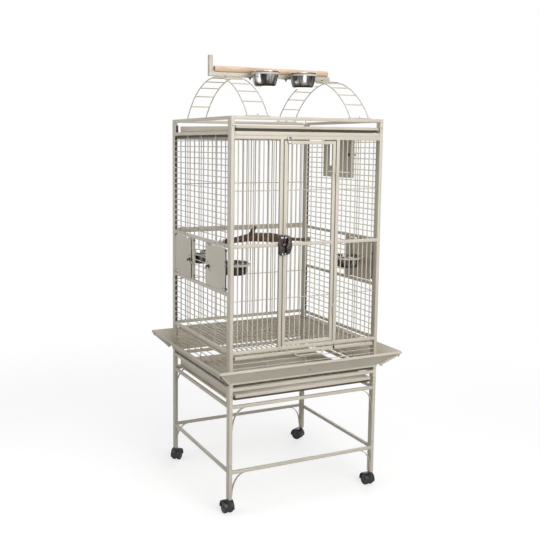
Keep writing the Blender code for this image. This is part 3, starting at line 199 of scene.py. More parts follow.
def multiplied(paint, first, second, share):
    """Darken a colour by another one, by a share."""
    return add_node(paint, "Mix", {"Factor": share}, {"A": first, "B": second},
                    data_type="RGBA", blend_type="MULTIPLY")["Result"]


def wired(paint, shader, colour, sheen, low, high, relief, strength, distance):
    """Lead a colour, a roughness range and a bump into the shader."""
    rough = add_node(paint, "MapRange", {
        "From Min": 0.3, "From Max": 0.7, "To Min": low, "To Max": high}, {"Value": sheen})["Result"]
    normal = add_node(paint, "Bump", {"Strength": strength, "Distance": distance},
                      {"Height": relief})["Normal"]
    for key, source in (("Base Color", colour), ("Roughness", rough), ("Normal", normal)):
        paint.node_tree.links.new(source, shader.inputs[key])
    return paint


def one_tone(name, tone, dark, light, sheen, low, high, relief, strength, distance, **values):
    """A finish with one tone from dark to light; tone, sheen and relief are noise scales."""
    paint, shader = new_paint(name, {key.replace("_", " "): value for key, value in values.items()})
    colour = tones(paint, noise(paint, tone, 3.0), dark, light)
    return wired(paint, shader, colour, noise(paint, sheen), low, high,
                 noise(paint, relief), strength, distance)


print("finish helpers ready")

# %% [markdown]
# The frame is baked powder coat in a warm ivory. Powder coat flows into a fine orange peel,
# is a touch uneven in tone where it went on thicker, and is neither matt nor shiny. One fine
# noise gives the peel, one wide noise the tone, and a middling one the patchy sheen.

# %% Ivory powder coat
def powder_coat(name, gloss, smooth, rough):
    """Warm ivory powder coat with its orange peel."""
    paint, shader = new_paint(name, {"Specular IOR Level": gloss})
    wide = tones(paint, noise(paint, 5.0, 3.0), (0.30, (0.575, 0.530, 0.440)),
                 (0.55, (0.620, 0.575, 0.485)), (0.75, (0.655, 0.612, 0.520)))
    speck = tones(paint, noise(paint, 520.0), (0.30, (0.90, 0.89, 0.86)), (0.55, (1.0, 1.0, 1.0)))
    return wired(paint, shader, multiplied(paint, wide, speck, 0.6),
                 noise(paint, 60.0, 3.0), smooth, rough, noise(paint, 650.0), 0.16, 0.0004)


ivory = powder_coat("ivory powder coat", 0.50, 0.34, 0.50)
dull_ivory = powder_coat("dull ivory powder coat", 0.12, 0.55, 0.72)
print("made", ivory.name, "and", dull_ivory.name)

# %% [markdown]
# Bright metal is of three kinds here: zinc on latches and wing nuts, spun stainless on the
# bowls, and dark blackened steel on the small screws and pivots. Spinning leaves fine level
# rings, so the stainless gets a wave that runs up the Z axis only. Its walls carry a painted
# reflection of a dark room in upright streaks, which a stretched noise gives. Faces that look
# down, as at a bowl's foot, get painted shade, and faces that look up get a painted highlight.

# %% Metals
def spun_stainless():
    """Polished stainless with the fine level rings of spinning, and painted light in its colour."""
    paint, shader = new_paint("spun stainless", {"Metallic": 1.0})
    place = add_node(paint, "TexCoord")["Object"]
    rings = add_node(paint, "TexWave", {"Scale": 420.0, "Distortion": 1.5, "Detail": 2.0},
                     {"Vector": place}, bands_direction="Z")["Fac"]
    # painted reflection: dark and light upright streaks from a noise stretched along Z
    shade = tones(paint, noise(paint, 50.0, 2.0, (1.0, 1.0, 0.08)),
                  (0.36, (0.025, 0.023, 0.022)), (0.50, (0.12, 0.115, 0.11)),
                  (0.60, (0.42, 0.41, 0.40)), (0.68, (0.70, 0.69, 0.67)))
    facing = add_node(paint, "NewGeometry")["Normal"]
    height = add_node(paint, "SeparateXYZ", None, {"Vector": facing})["Z"]
    # painted shade on faces that look down, painted highlight on faces that look up
    for start, end, colour in (
            (-0.20, -0.55, (0.085, 0.070, 0.062, 1.0)), (0.35, 0.75, (0.74, 0.73, 0.71, 1.0))):
        slant = add_node(paint, "MapRange", {"From Min": start, "From Max": end},
                         {"Value": height})["Result"]
        shade = add_node(paint, "Mix", {"B": colour}, {"Factor": slant, "A": shade},
                         data_type="RGBA")["Result"]
    return wired(paint, shader, shade, rings, 0.16, 0.24, rings, 0.05, 0.0002)


bright_zinc = one_tone("bright zinc", 180.0, (0.3, (0.26, 0.25, 0.24)), (0.7, (0.50, 0.49, 0.47)),
                       300.0, 0.24, 0.42, 900.0, 0.10, 0.0003, Metallic=1.0)
stainless = spun_stainless()
dark_steel = one_tone(
    "blackened steel", 220.0, (0.3, (0.030, 0.028, 0.026)), (0.7, (0.085, 0.078, 0.070)),
    400.0, 0.30, 0.48, 800.0, 0.12, 0.0003, Metallic=0.8)
print("made", bright_zinc.name, stainless.name, dark_steel.name)

# %% [markdown]
# The lock is painted a brown black that shines a little, the casters are moulded plastic with
# rubber rims, and the two perches are wood: a pale turned dowel, whose grain runs along X,
# and a natural branch, whose bark is a rough mix of ridges and worn, paler places.

# %% Lock paint, plastics and woods
def moulded_plastic(name, dark, light, low, high):
    """Moulded plastic or rubber with a fine mould grain."""
    return one_tone(name, 70.0, (0.3, dark), (0.7, light), 260.0, low, high, 1200.0, 0.15, 0.0003)


def dowel_wood():
    """Pale turned hardwood with its grain along X."""
    paint, shader = new_paint("turned dowel wood", {})
    streaks = noise(paint, 120.0, 5.0, (0.05, 1.0, 1.0))
    pores = noise(paint, 900.0, 2.0, (0.03, 1.0, 1.0))
    body = tones(paint, streaks, (0.30, (0.60, 0.41, 0.27)), (0.52, (0.75, 0.55, 0.39)),
                 (0.72, (0.80, 0.62, 0.46)))
    dark = tones(paint, pores, (0.32, (0.66, 0.58, 0.50)), (0.48, (1.0, 1.0, 1.0)))
    return wired(paint, shader, multiplied(paint, body, dark, 0.7),
                 streaks, 0.50, 0.68, pores, 0.2, 0.0004)


def branch_bark():
    """Brown bark with ridges along the branch and paler, gnawed places."""
    paint, shader = new_paint("branch bark", {})
    ridges = noise(paint, 90.0, 6.0, (0.35, 1.0, 1.0))
    body = tones(paint, ridges, (0.30, (0.045, 0.028, 0.018)), (0.52, (0.120, 0.075, 0.046)),
                 (0.70, (0.230, 0.150, 0.095)))
    worn = tones(paint, noise(paint, 22.0, 3.0),
                 (0.45, (0.75, 0.72, 0.70)), (0.68, (1.0, 0.98, 0.94)))
    return wired(paint, shader, multiplied(paint, body, worn, 0.8),
                 ridges, 0.72, 0.95, ridges, 0.7, 0.0015)


enamel = one_tone(
    "lock enamel", 90.0, (0.35, (0.010, 0.005, 0.005)), (0.70, (0.045, 0.020, 0.019)),
    160.0, 0.16, 0.34, 420.0, 0.12, 0.0004, Coat_Weight=0.4, Coat_Roughness=0.12)
black_nylon = moulded_plastic(
    "black nylon", (0.006, 0.006, 0.007), (0.015, 0.015, 0.017), 0.34, 0.50)
rubber = moulded_plastic(
    "black rubber", (0.014, 0.014, 0.014), (0.026, 0.025, 0.025), 0.60, 0.78)
# Dark finish for strips put where the cage lies in shadow: painted shade.
painted_shade_strip = moulded_plastic(
    "painted shade strip", (0.034, 0.025, 0.016), (0.092, 0.070, 0.046), 0.60, 0.80)
dowel_finish = dowel_wood()
bark = branch_bark()
print("finishes:", len(bpy.data.materials))

# %% [markdown]
# Four moves make nearly the whole cage. A bar is a cube, scaled to size, whose edges are
# bevelled so that they catch the light as real tube does. A wire is a cylinder between two
# points. What repeats gets an Array modifier, and bent wire is a curve turned into a mesh.
# Each helper leaves one object whose place is already in its mesh.

# %% Bars, wires and rows
def pick(*pieces):
    """Select these pieces only, the first one active."""
    bpy.ops.object.select_all(action="DESELECT")
    for piece in pieces:
        piece.select_set(True)
    bpy.context.view_layer.objects.active = pieces[0]


def joined(pieces):
    """Join pieces into the first one."""
    pick(*pieces)
    if len(pieces) > 1:
        bpy.ops.object.join()
    return bpy.context.object


def settle():
    """Put the active object's place into its mesh."""
    bpy.ops.object.transform_apply(location=True, rotation=True, scale=True)
    return bpy.context.object


def moved(piece, place, turn=(0.0, 0.0, 0.0)):
    """Turn a piece, move it to its place and settle it."""
    pick(piece)
    piece.rotation_euler = turn
    piece.location = place
    return settle()


def put(piece, place, direction=(0.0, 0.0, 1.0)):
    """Turn a piece's +Z to a direction and move it to its place."""
    return moved(piece, place, Vector(direction).to_track_quat("Z", "Y").to_euler())


def modified(piece, kind, **settings):
    """Add a modifier, set it up and apply it."""
    pick(piece)
    made = piece.modifiers.new(kind.lower(), kind)
    for key, value in settings.items():
        setattr(made, key, value)
    bpy.ops.object.modifier_apply(modifier=made.name)
    return piece


def editing(action="SELECT"):
    """Enter edit mode on the active object and select all or nothing."""
    bpy.ops.object.mode_set(mode="EDIT")
    bpy.ops.mesh.select_all(action=action)


def tidied(piece):
    """Merge doubles and turn all faces outwards."""
    pick(piece)
    editing()
    bpy.ops.mesh.remove_doubles(threshold=0.00001)
    bpy.ops.mesh.normals_make_consistent(inside=False)
    bpy.ops.object.mode_set(mode="OBJECT")
    return piece


def bar(low, high, rounding=0.0012, segments=2):
    """A bar between two corners, given in any order, with rounded edges."""
    bpy.ops.object.select_all(action="DESELECT")
    middle = [(a + b) / 2 for a, b in zip(low, high)]
    size = [abs(b - a) for a, b in zip(low, high)]
    bpy.ops.mesh.primitive_cube_add(size=1.0, location=middle, scale=size)
    made = settle()
    editing()
    bpy.ops.mesh.bevel(offset=min(rounding, min(size) * 0.45), segments=segments, affect="EDGES")
    bpy.ops.object.mode_set(mode="OBJECT")
    return made


def wire(start, end, radius, sides=10):
    """A straight round wire between two points."""
    bpy.ops.object.select_all(action="DESELECT")
    start = Vector(start)
    end = Vector(end)
    turn = (end - start).to_track_quat("Z", "Y").to_euler()
    bpy.ops.mesh.primitive_cylinder_add(
        vertices=sides, radius=radius, depth=(end - start).length, location=(start + end) / 2,
        rotation=turn)
    return settle()


def row(piece, count, step):
    """Repeat a piece along a step."""
    return modified(piece, "ARRAY", count=count, use_relative_offset=False,
                    use_constant_offset=True, constant_offset_displace=step)


def bent_wire(points, radius, roundness=2, steps=5):
    """A round wire bent smoothly through points; a point's fourth number scales its radius."""
    curve = bpy.data.curves.new("bent_wire", "CURVE")
    curve.dimensions = "3D"
    curve.bevel_depth = radius
    curve.bevel_resolution = roundness
    curve.use_fill_caps = True
    curve.resolution_u = steps
    line = curve.splines.new("BEZIER")
    line.bezier_points.add(len(points) - 1)
    for knot, (x, y, z, *share) in zip(line.bezier_points, points):
        knot.co = (x, y, z)
        knot.radius = share[0] if share else 1.0
        knot.handle_left_type = "AUTO"
        knot.handle_right_type = "AUTO"
    made = bpy.data.objects.new("bent_wire", curve)
    bpy.context.scene.collection.objects.link(made)
    pick(made)
    bpy.ops.object.convert(target="MESH")
    return tidied(bpy.context.object)


def finished(name, parts, finish, body="frame", nodes=(), angle=38.0):
    """Join the parts into one named piece, give it its finish, and let it ride on its body."""
    piece = joined(parts)
    piece.name = name
    piece.data.name = name
    piece.data.materials.clear()
    piece.data.materials.append(finish)
    bpy.ops.object.shade_smooth_by_angle(angle=math.radians(angle))
    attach(piece, body)
    if nodes:
        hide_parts(*nodes)
    return piece


print("bar, wire, row and bent wire ready")

# %% [markdown]
# Turned and flat shapes start from a line that is drawn by hand: a plane is merged to a
# single vertex, and the vertex is extruded from point to point. Spun about an upright line it
# becomes a bowl, a screw head or a wheel. Closed with a face and extruded it becomes a plate.
# Both could be built from primitives, but a drawn profile gives rims, lips and rounded corners.

# %% Turned shapes and plates
def drawn_line(points):
    """A line drawn by extruding one vertex from point to point, left in edit mode."""
    bpy.ops.object.select_all(action="DESELECT")
    bpy.ops.mesh.primitive_plane_add(size=0.001, location=points[0])
    made = settle()
    bpy.ops.object.mode_set(mode="EDIT")
    bpy.ops.mesh.select_mode(type="VERT")
    bpy.ops.mesh.select_all(action="SELECT")
    bpy.ops.mesh.merge(type="CENTER")
    for before, after in zip(points, points[1:]):
        step = Vector(after) - Vector(before)
        bpy.ops.mesh.extrude_region_move(TRANSFORM_OT_translate={"value": step})
    bpy.ops.mesh.select_all(action="SELECT")
    return made


def extruded(shift):
    """Extrude what is selected and leave edit mode."""
    bpy.ops.mesh.extrude_region_move(TRANSFORM_OT_translate={"value": shift})
    bpy.ops.object.mode_set(mode="OBJECT")


def turned(profile, steps=40):
    """Spin a profile of (radius, height) points about the Z axis."""
    made = drawn_line([(radius, 0.0, height) for radius, height in profile])
    bpy.ops.mesh.spin(
        steps=steps, angle=2 * math.pi, center=(0.0, 0.0, 0.0), axis=(0.0, 0.0, 1.0))
    bpy.ops.object.mode_set(mode="OBJECT")
    return tidied(made)


def plate(points, depth):
    """A flat outline, filled and extruded by a depth vector."""
    made = drawn_line(points)
    bpy.ops.mesh.edge_face_add()
    extruded(depth)
    return tidied(made)


def softened(piece, width, segments=2, angle=50.0):
    """Round a piece's sharp edges."""
    return modified(piece, "BEVEL", width=width, segments=segments, limit_method="ANGLE",
                    angle_limit=math.radians(angle))


def rounded_outline(low, high, radius, corners=5):
    """Points round a rectangle with rounded corners, as (across, up) pairs."""
    points = []
    for centre_x, centre_z, start in (
            (high[0] - radius, high[1] - radius, 0), (low[0] + radius, high[1] - radius, 90),
            (low[0] + radius, low[1] + radius, 180), (high[0] - radius, low[1] + radius, 270)):
        for index in range(corners + 1):
            angle = math.radians(start + 90 * index / corners)
            points.append(
                (centre_x + radius * math.cos(angle), centre_z + radius * math.sin(angle)))
    return points


FRONT = (0.0, -1.0, 0.0)
UP = (0.0, 0.0, 1.0)


def dome_screw(place, direction, radius=0.0032, height=0.0022):
    """A domed screw head, standing on a surface."""
    head = turned([
        (0.0, -0.0006), (radius, -0.0006), (radius, height * 0.25), (radius * 0.86, height * 0.68),
        (radius * 0.5, height * 0.94), (0.0, height)], 20)
    return put(head, place, direction)


def hex_nut(place, direction, radius=0.0042, height=0.0032):
    """A six-sided nut with rounded edges."""
    bpy.ops.object.select_all(action="DESELECT")
    bpy.ops.mesh.primitive_cylinder_add(
        vertices=6, radius=radius, depth=height, location=(0.0, 0.0, height / 2))
    nut = softened(settle(), radius * 0.12, 2, 30.0)
    return put(nut, place, direction)


def wing_nut(place, direction, spin=0.0, size=1.0):
    """A wing nut: a tapered hub with two rounded wings, turned about its own axis."""
    parts = [turned([
        (0.0, -0.0004), (0.0042, -0.0004), (0.0036, 0.0045), (0.0026, 0.0052), (0.0, 0.0052)], 16)]
    for side in (-1, 1):
        outline = [(side * x, 0.0, z) for x, z in (
            (0.0030, 0.0006), (0.0072, 0.0038), (0.0092, 0.0078), (0.0082, 0.0094),
            (0.0062, 0.0088), (0.0030, 0.0046))]
        wing = moved(plate(outline, (0.0, 0.0014, 0.0)), (0.0, -0.0007, 0.0))
        parts.append(softened(wing, 0.0004))
    nut = joined(parts)
    nut.rotation_euler = (0.0, 0.0, spin)
    nut.scale = (size, size, size)
    settle()
    return put(nut, place, direction)


print("turned shapes, plates, screws and nuts ready")

# %% [markdown]
# The sizes of the cage, as the CAD model has them. Heights are those of the undersides of
# the level rails. The frame is square steel tube: posts stand edge on, 13 mm wide and 25 mm
# deep, and rails are 12 mm high, set half a millimetre behind the faces of the posts.

# %% Sizes of the frame
HALF_W = 0.305
HALF_D = 0.280
POST_IN_X = 0.292
POST_IN_Y = 0.255
RAIL = 0.012
RAIL_END = 0.293
RAIL_OUT_X = 0.3045
RAIL_IN_X = 0.2945
RAIL_OUT_Y = 0.2795
RAIL_IN_Y = 0.2695
FOOT = 0.4663
TOP = 1.400
BASE_RAIL = 0.4693
BOTTOM_RAIL = 0.5798
SILL = 0.7953
MID_RAIL = 0.9518
DOOR_HEAD = 1.3225
SIDE_HEAD = 1.3375
TOP_RAIL = 1.388
GUARD_Z = 0.4943
GUARD_STEP = 0.0172
GUARD_TIE = (0.4755, 0.5479)
TIES = (0.7653, 1.1473)
SPAN = 0.2547
SIDE_END = 0.2537
SIDE_TIE = 0.133
WIRE_X = 0.2995
TIE_X = 0.297
WIRE_END = 0.2514
WIRE_PITCH = 0.0203
WIRE = 0.0016
BAR_PITCH = 0.0196
BAR = 0.0021
TUBE = 0.0016
FOLD = 0.0004
STRAP = (0.2955, 0.3042, 0.0008)
FLANGE = (0.2982, 0.2996, FOLD)
STAND_LOW = 0.151
STAND_MID = 0.388
STAND_TOP = 0.450
FACES = {"front": -1, "back": 1}
SIDES = {"left": -1, "right": 1}


def evenly(low, high, pitch):
    """First place, step and count of equal spaces near a pitch."""
    steps = max(2, round((high - low) / pitch))
    step = (high - low) / steps
    return low + step, step, steps - 1


print("cage front:", 2 * HALF_W, "x", round(TOP - FOOT, 4))

# %% [markdown]
# The front and back frames of the cage carry everything else. Each is two corner posts
# joined by level rails, with four guard wires low down that keep litter in. The front frame
# also has the two posts of the doorway. Tube ends are welded, so the rails simply meet the posts.

# %% Front and back frames of the cage
def corner_posts(face, low, high):
    """The two corner posts of a frame."""
    return [bar((side * HALF_W, face * HALF_D, low), (side * POST_IN_X, face * POST_IN_Y, high),
                0.0019, 3) for side in SIDES.values()]


def cross_rail(face, z, start=-RAIL_END, end=RAIL_END, depth=0.010):
    """A level rail of a front or back frame."""
    return bar((start, face * RAIL_OUT_Y, z), (end, face * (RAIL_OUT_Y - depth), z + RAIL), TUBE, 3)


def guard_wires(face):
    """Four level guard wires and their three upright ties."""
    y = face * (RAIL_OUT_Y - 0.005)
    tie_x = -0.1525
    tie_y = face * 0.2720
    level = wire((-RAIL_END, y, GUARD_Z), (RAIL_END, y, GUARD_Z), WIRE)
    levels = row(level, 4, (0.0, 0.0, GUARD_STEP))
    tie = wire((tie_x, tie_y, GUARD_TIE[0]), (tie_x, tie_y, GUARD_TIE[1]), WIRE)
    return [levels, row(tie, 3, (-tie_x, 0.0, 0.0))]


def cage_end_frame(name, face):
    """One whole front or back frame."""
    parts = corner_posts(face, FOOT, TOP)
    parts += [cross_rail(face, z) for z in (BASE_RAIL, BOTTOM_RAIL, DOOR_HEAD, TOP_RAIL)]
    if face < 0:
        for start, end in ((-RAIL_END, -0.1175), (0.1215, RAIL_END)):
            parts.append(cross_rail(face, MID_RAIL, start, end, 0.0079))
        for start in (-0.118, 0.109):
            high = (start + 0.013, -0.2685, 1.3335)
            parts.append(bar((start, -0.27975, 0.5808), high, 0.0018, 3))
    else:
        tall = MID_RAIL + 0.020
        parts.append(bar((-RAIL_END, RAIL_OUT_Y, MID_RAIL), (RAIL_END, 0.2716, tall), TUBE, 3))
    parts += guard_wires(face)
    finished("cage_" + name + "_tubes", parts, ivory, nodes=["cage_" + name + "_frame"])


for name, face in FACES.items():
    cage_end_frame(name, face)
print("cage frames done")

# %% [markdown]
# The grilles of the front and back have upright bars about 20 mm apart with two thin cross
# wires. One bar is made, and an Array modifier repeats it, as the maker's jig does. Copies
# placed one by one would do as well, but the modifier keeps the pitch in one number.

# %% Upright bars of front and back
def upright_bars(name, face, low, high, node):
    """A grille of upright bars tied by two cross wires."""
    y = face * 0.2692
    tie_y = face * 0.2662
    first, step, count = evenly(low, high, BAR_PITCH)
    parts = [row(wire((first, y, 0.5915), (first, y, 1.3228), BAR), count, (step, 0.0, 0.0))]
    parts += [wire((low + 0.0003, tie_y, z), (high - 0.0003, tie_y, z), WIRE) for z in TIES]
    finished(name, parts, ivory, nodes=[node])


upright_bars("front_bars_left", -1, -POST_IN_X, -0.118, "front_grille_left")
upright_bars("front_bars_right", -1, 0.122, POST_IN_X, "front_grille_right")
upright_bars("back_bars", 1, -POST_IN_X, POST_IN_X, "back_grille")
print("upright bars done")

# %% [markdown]
# The sides have level wires about 20 mm apart with three upright ties. They are made as the
# upright bars are, by one wire and an Array modifier. The right side leaves a window for the
# nest box door, so its upper wires are made in two lengths beside it.

# %% Level wires of the sides
def level_row(side, start, end, first, count, step):
    """A row of level wires in a side, one above the other."""
    x = side * WIRE_X
    return row(wire((x, start, first), (x, end, first), WIRE), count, (0.0, 0.0, step))


def level_wires(name, side, low, high, node, window=False):
    """Level wires between two rails of a side, with upright ties."""
    first, step, count = evenly(low, high, WIRE_PITCH)
    whole = len([index for index in range(count) if not window or first + step * index < 1.1766])
    parts = [level_row(side, -WIRE_END, WIRE_END, first, whole, step)]
    if window:
        above = first + step * whole
        for start, end in ((-WIRE_END, -0.0973), (0.1193, WIRE_END)):
            parts.append(level_row(side, start, end, above, count - whole, step))
    for y in (-SIDE_TIE, 0.0, SIDE_TIE):
        top = 1.1782 if window and y == 0.0 else high - 0.0003
        parts.append(wire((side * TIE_X, y, low + 0.0003), (side * TIE_X, y, top), WIRE))
    finished(name, parts, ivory, nodes=[node])


for name, side in SIDES.items():
    level_wires(name + "_wires_upper", side, MID_RAIL + RAIL, SIDE_HEAD, name + "_grille_upper",
                name == "right")
    level_wires(name + "_wires_lower", side, BOTTOM_RAIL + RAIL, SILL - RAIL,
                name + "_grille_lower")
print("side wires done")

# %% [markdown]
# Each side frame slides between the corner posts on flat end strips and is bolted there. It
# holds the openings of the feeder doors, a band of wires between them, the guard wires, and
# two folded ledges that the floor grate and the top tray run on. Where a feeder door meets its
# post the end strip is left out, so that light shows past the hinge rod.

# %% Side frames of the cage
def side_bar(side, low_y, high_y, low_z, high_z,
             inner=RAIL_IN_X, outer=RAIL_OUT_X, rounding=0.0014):
    """A bar in a side wall."""
    return bar((side * inner, low_y, low_z), (side * outer, high_y, high_z), rounding, 3)


def end_strip(side, face, low_z, high_z):
    """The flat strip between a side frame and a post."""
    return side_bar(side, face * SPAN, face * (SPAN - 0.003), low_z, high_z,
                    outer=HALF_W, rounding=0.0006)


def ledge(side, top):
    """A folded ledge inside a side frame."""
    return bar((side * 0.2955, -SIDE_END, top - 0.0015), (side * 0.2775, SIDE_END, top), FOLD, 1)


def cage_side_frame(name, side):
    """One whole side frame."""
    parts = []
    for face in FACES.values():
        for low_z, high_z in ((FOOT, SILL), (MID_RAIL, TOP)) if face < 0 else ((FOOT, TOP),):
            parts.append(end_strip(side, face, low_z, high_z))
    for z in (BASE_RAIL, BOTTOM_RAIL, SILL - RAIL, MID_RAIL, SIDE_HEAD, TOP_RAIL):
        parts.append(side_bar(side, -SIDE_END, SIDE_END, z, z + RAIL))
    for face in (-1, 1) if side < 0 else (-1,):
        for near, far, shape in ((0.0592, 0.0717, STRAP), (0.0710, 0.0960, FLANGE)):
            parts.append(side_bar(
                side, face * near, face * far, SILL - 0.001, MID_RAIL + 0.001, *shape))
    first, step, count = evenly(SILL, MID_RAIL, WIRE_PITCH)
    parts.append(level_row(side, -0.0707, 0.0707 if side < 0 else SIDE_END, first, count, step))
    parts.append(level_row(side, -SIDE_END, SIDE_END, GUARD_Z, 4, GUARD_STEP))
    x = side * TIE_X
    tie = wire((x, -SIDE_TIE, GUARD_TIE[0]), (x, -SIDE_TIE, GUARD_TIE[1]), WIRE)
    parts.append(row(tie, 3, (0.0, SIDE_TIE, 0.0)))
    parts += [ledge(side, top) for top in (0.56375, 1.3495)]
    if side > 0:
        parts.append(side_bar(side, -0.097, 0.119, 1.1785, 1.1985, *STRAP))
        for low_y, high_y in ((-0.097, -0.077), (0.099, 0.119)):
            parts.append(side_bar(side, low_y, high_y, 1.1975, 1.3385, *STRAP))
    finished("cage_" + name + "_tubes", parts, ivory, nodes=["cage_" + name + "_frame"])


for name, side in SIDES.items():
    cage_side_frame(name, side)
print("side frames done")

# %% [markdown]
# Dark strips are put where the cage lies in shadow: they are painted shade. One runs under the
# head rail of each side, where the roof rests in the tray's shadow, and short ones fill the rear
# post between the ends of the wires, where its front face is in shade. They could be one sheet
# with holes, but a short bar and an Array modifier leave the wires' ends free.

# %% Painted shade strips
def shade_strips_of_side(side):
    """Painted shade strips under the side head rail and down the rear post."""
    rear = 0.2505
    parts = [side_bar(side, -0.2512, rear, 1.3282, 1.3377, 0.2925, 0.2943, FOLD)]
    parts.append(side_bar(side, rear, 0.2519, 1.3500, 1.3770, 0.2905, 0.3000, 0.0003))
    for low, high in ((MID_RAIL + RAIL, SIDE_HEAD), (BOTTOM_RAIL + RAIL, SILL - RAIL)):
        first, step, count = evenly(low, high, WIRE_PITCH)
        low_z = first - step + 0.0028
        short = side_bar(side, rear, 0.2519, low_z, first - 0.0028, 0.2975, 0.3048, 0.0003)
        parts.append(row(short, count + 1, (0.0, 0.0, step)))
    return parts


# Strips of painted shade for both sides.
finished("painted_shade_strips", shade_strips_of_side(-1) + shade_strips_of_side(1), painted_shade_strip)
print("joint strips done")

# %% [markdown]
# The stand is lighter: four legs, low stretchers, and two rails a side that hold the waste
# tray. Where rails meet the legs, flat strips bent to a quarter of an ellipse brace the corner:
# a line is drawn along the bend, extruded to the strip's width and given its thickness.
# The legs end 58 mm above the floor, where plastic plugs take the casters' stems.

# %% The stand
def corner_brace(face, side, z):
    """A flat strip bent from under a rail down to the leg."""
    points = []
    for index in range(11):
        angle = math.radians(90 * index / 10)
        across = POST_IN_X - 0.050 * (1 - math.sin(angle))
        down = 0.078 * (1 - math.cos(angle)) if index else -0.001
        points.append((side * across, face * 0.2710, z - down))
    strip = drawn_line(points)
    extruded((0.0, face * 0.0085, 0.0))
    strip = modified(tidied(strip), "SOLIDIFY", thickness=0.0026, offset=0.0)
    return softened(tidied(strip), 0.0006, 1, 60.0)


def stand_end(name, face):
    """Front or back of the stand."""
    parts = corner_posts(face, 0.058, 0.466)
    parts += [cross_rail(face, z) for z in (STAND_LOW, STAND_MID, STAND_TOP)]
    for side in SIDES.values():
        parts += [corner_brace(face, side, z) for z in (STAND_LOW, STAND_MID)]
    finished("stand_" + name + "_tubes", parts, ivory, nodes=["stand_" + name + "_frame"])


def stand_side(name, side):
    """Side of the stand, with the ledge that the waste tray runs on."""
    parts = [end_strip(side, face, STAND_MID, STAND_TOP + RAIL) for face in FACES.values()]
    parts += [side_bar(side, -SIDE_END, SIDE_END, z, z + RAIL) for z in (STAND_MID, STAND_TOP)]
    parts.append(ledge(side, 0.4132))
    finished("stand_" + name + "_tubes", parts, ivory, nodes=["stand_" + name + "_frame"])
    stretcher = side_bar(side, -SPAN, SPAN, STAND_LOW, STAND_LOW + RAIL)
    finished("stand_" + name + "_low_rail", [stretcher], ivory,
             nodes=["stand_" + name + "_stretcher"])


for name, face in FACES.items():
    stand_end(name, face)
for name, side in SIDES.items():
    stand_side(name, side)
print("stand done")

# %% [markdown]
# The roof and the floor grate are flat grilles in a frame of square rod. The grate pulls out
# at the front by a bent wire handle, so it rides on its own body.

# %% Roof grille and floor grate
def flat_grille(half_x, low_y, high_y, z, inset):
    """Lengthwise bars inside a square rod frame."""
    rod = 0.0055
    half = rod / 2
    thin = 0.00245
    parts = []
    for y in (low_y, high_y - rod):
        parts.append(bar((-half_x, y, z - half), (half_x, y + rod, z + half), 0.0008))
    for x in (-half_x + 0.0002, half_x - 0.0057):
        parts.append(bar((x, low_y + 0.001, z - thin), (x + rod, high_y - 0.001, z + thin), 0.0008))
    first, step, count = evenly(-half_x - inset, half_x + inset, BAR_PITCH)
    lengthwise = wire((first, low_y + 0.003, z), (first, high_y - 0.003, z), BAR)
    parts.append(row(lengthwise, count, (step, 0.0, 0.0)))
    return parts


finished("roof_bars", flat_grille(0.2917, -0.2692, 0.2692, 1.3300, 0.0), ivory, nodes=["roof_grille"])

grate_z = 0.5668
grate = flat_grille(0.285, -0.2705, 0.267, grate_z, 0.0005)
grate.append(bar((-0.2855, -RAIL_OUT_Y, 0.5608), (0.2855, -RAIL_IN_Y, 0.5728), TUBE, 3))
HANDLE = (
    (0.056, -0.2785, grate_z), (0.056, -0.2930, 0.5641), (0.0545, -0.2995, 0.5628),
    (0.050, -0.3035, 0.5610), (0.025, -0.3040, 0.5608))
left_half = [(-x, y, z) for x, y, z in HANDLE]
grate.append(bent_wire(left_half + list(reversed(HANDLE)), 0.0026))
finished("floor_grate_bars", grate, ivory, "floor_grate", ["floor_grate"])
print("roof and grate done")

# %% [markdown]
# The seed guards are bent sheet: a flange that hangs on the frame, a slope that flares out,
# and a folded hem that stiffens the rim and keeps hands off the raw edge. A thin strip is
# drawn as the fold line, extruded along the wall, given its width at each height, rounded
# at the folds and then given the sheet's thickness with Solidify. The ends are mitred, and a
# folded channel, bolted at both ends, closes each mitre.

# %% Seed guards
def seed_guard(name, half, wall, turn):
    """One guard, made for the front and turned to its wall."""
    foot = FOOT + 0.0095
    folds = [(0.0, foot), (0.0, foot + 0.007), (0.0643, foot + 0.068), (0.0658, foot + 0.059)]
    half_widths = [half + 0.00105 + out - 0.0010 for out, _ in folds]
    middle_y = -(wall + 0.00105)
    guard = drawn_line([(-half_widths[0], middle_y - out, z) for out, z in folds])
    extruded((2 * half_widths[0], 0.0, 0.0))
    bpy.ops.object.mode_set(mode="EDIT")
    bpy.ops.mesh.select_mode(type="VERT")
    for (out, z), half_width in zip(folds, half_widths):
        bpy.ops.mesh.select_all(action="DESELECT")
        bpy.ops.object.mode_set(mode="OBJECT")
        for vertex in guard.data.vertices:
            vertex.select = (
                abs(vertex.co.z - z) < 0.0002 and abs(vertex.co.y - middle_y + out) < 0.0002)
        bpy.ops.object.mode_set(mode="EDIT")
        bpy.ops.transform.resize(
            value=(half_width / half_widths[0], 1.0, 1.0), center_override=(0.0, 0.0, 0.0))
    bpy.ops.object.mode_set(mode="OBJECT")
    softened(tidied(guard), 0.0016, 3, 20.0)
    modified(guard, "SOLIDIFY", thickness=0.0015, offset=0.0)
    guard = tidied(moved(guard, (0.0, 0.0, 0.0), (0.0, 0.0, turn)))
    finished("seed_guard_" + name + "_sheet", [guard], dull_ivory, nodes=["seed_guard_" + name])


seed_guard("front", HALF_W, HALF_D, 0.0)
seed_guard("back", HALF_W, HALF_D, math.pi)
seed_guard("left", HALF_D, HALF_W, -math.pi / 2)
seed_guard("right", HALF_D, HALF_W, math.pi / 2)


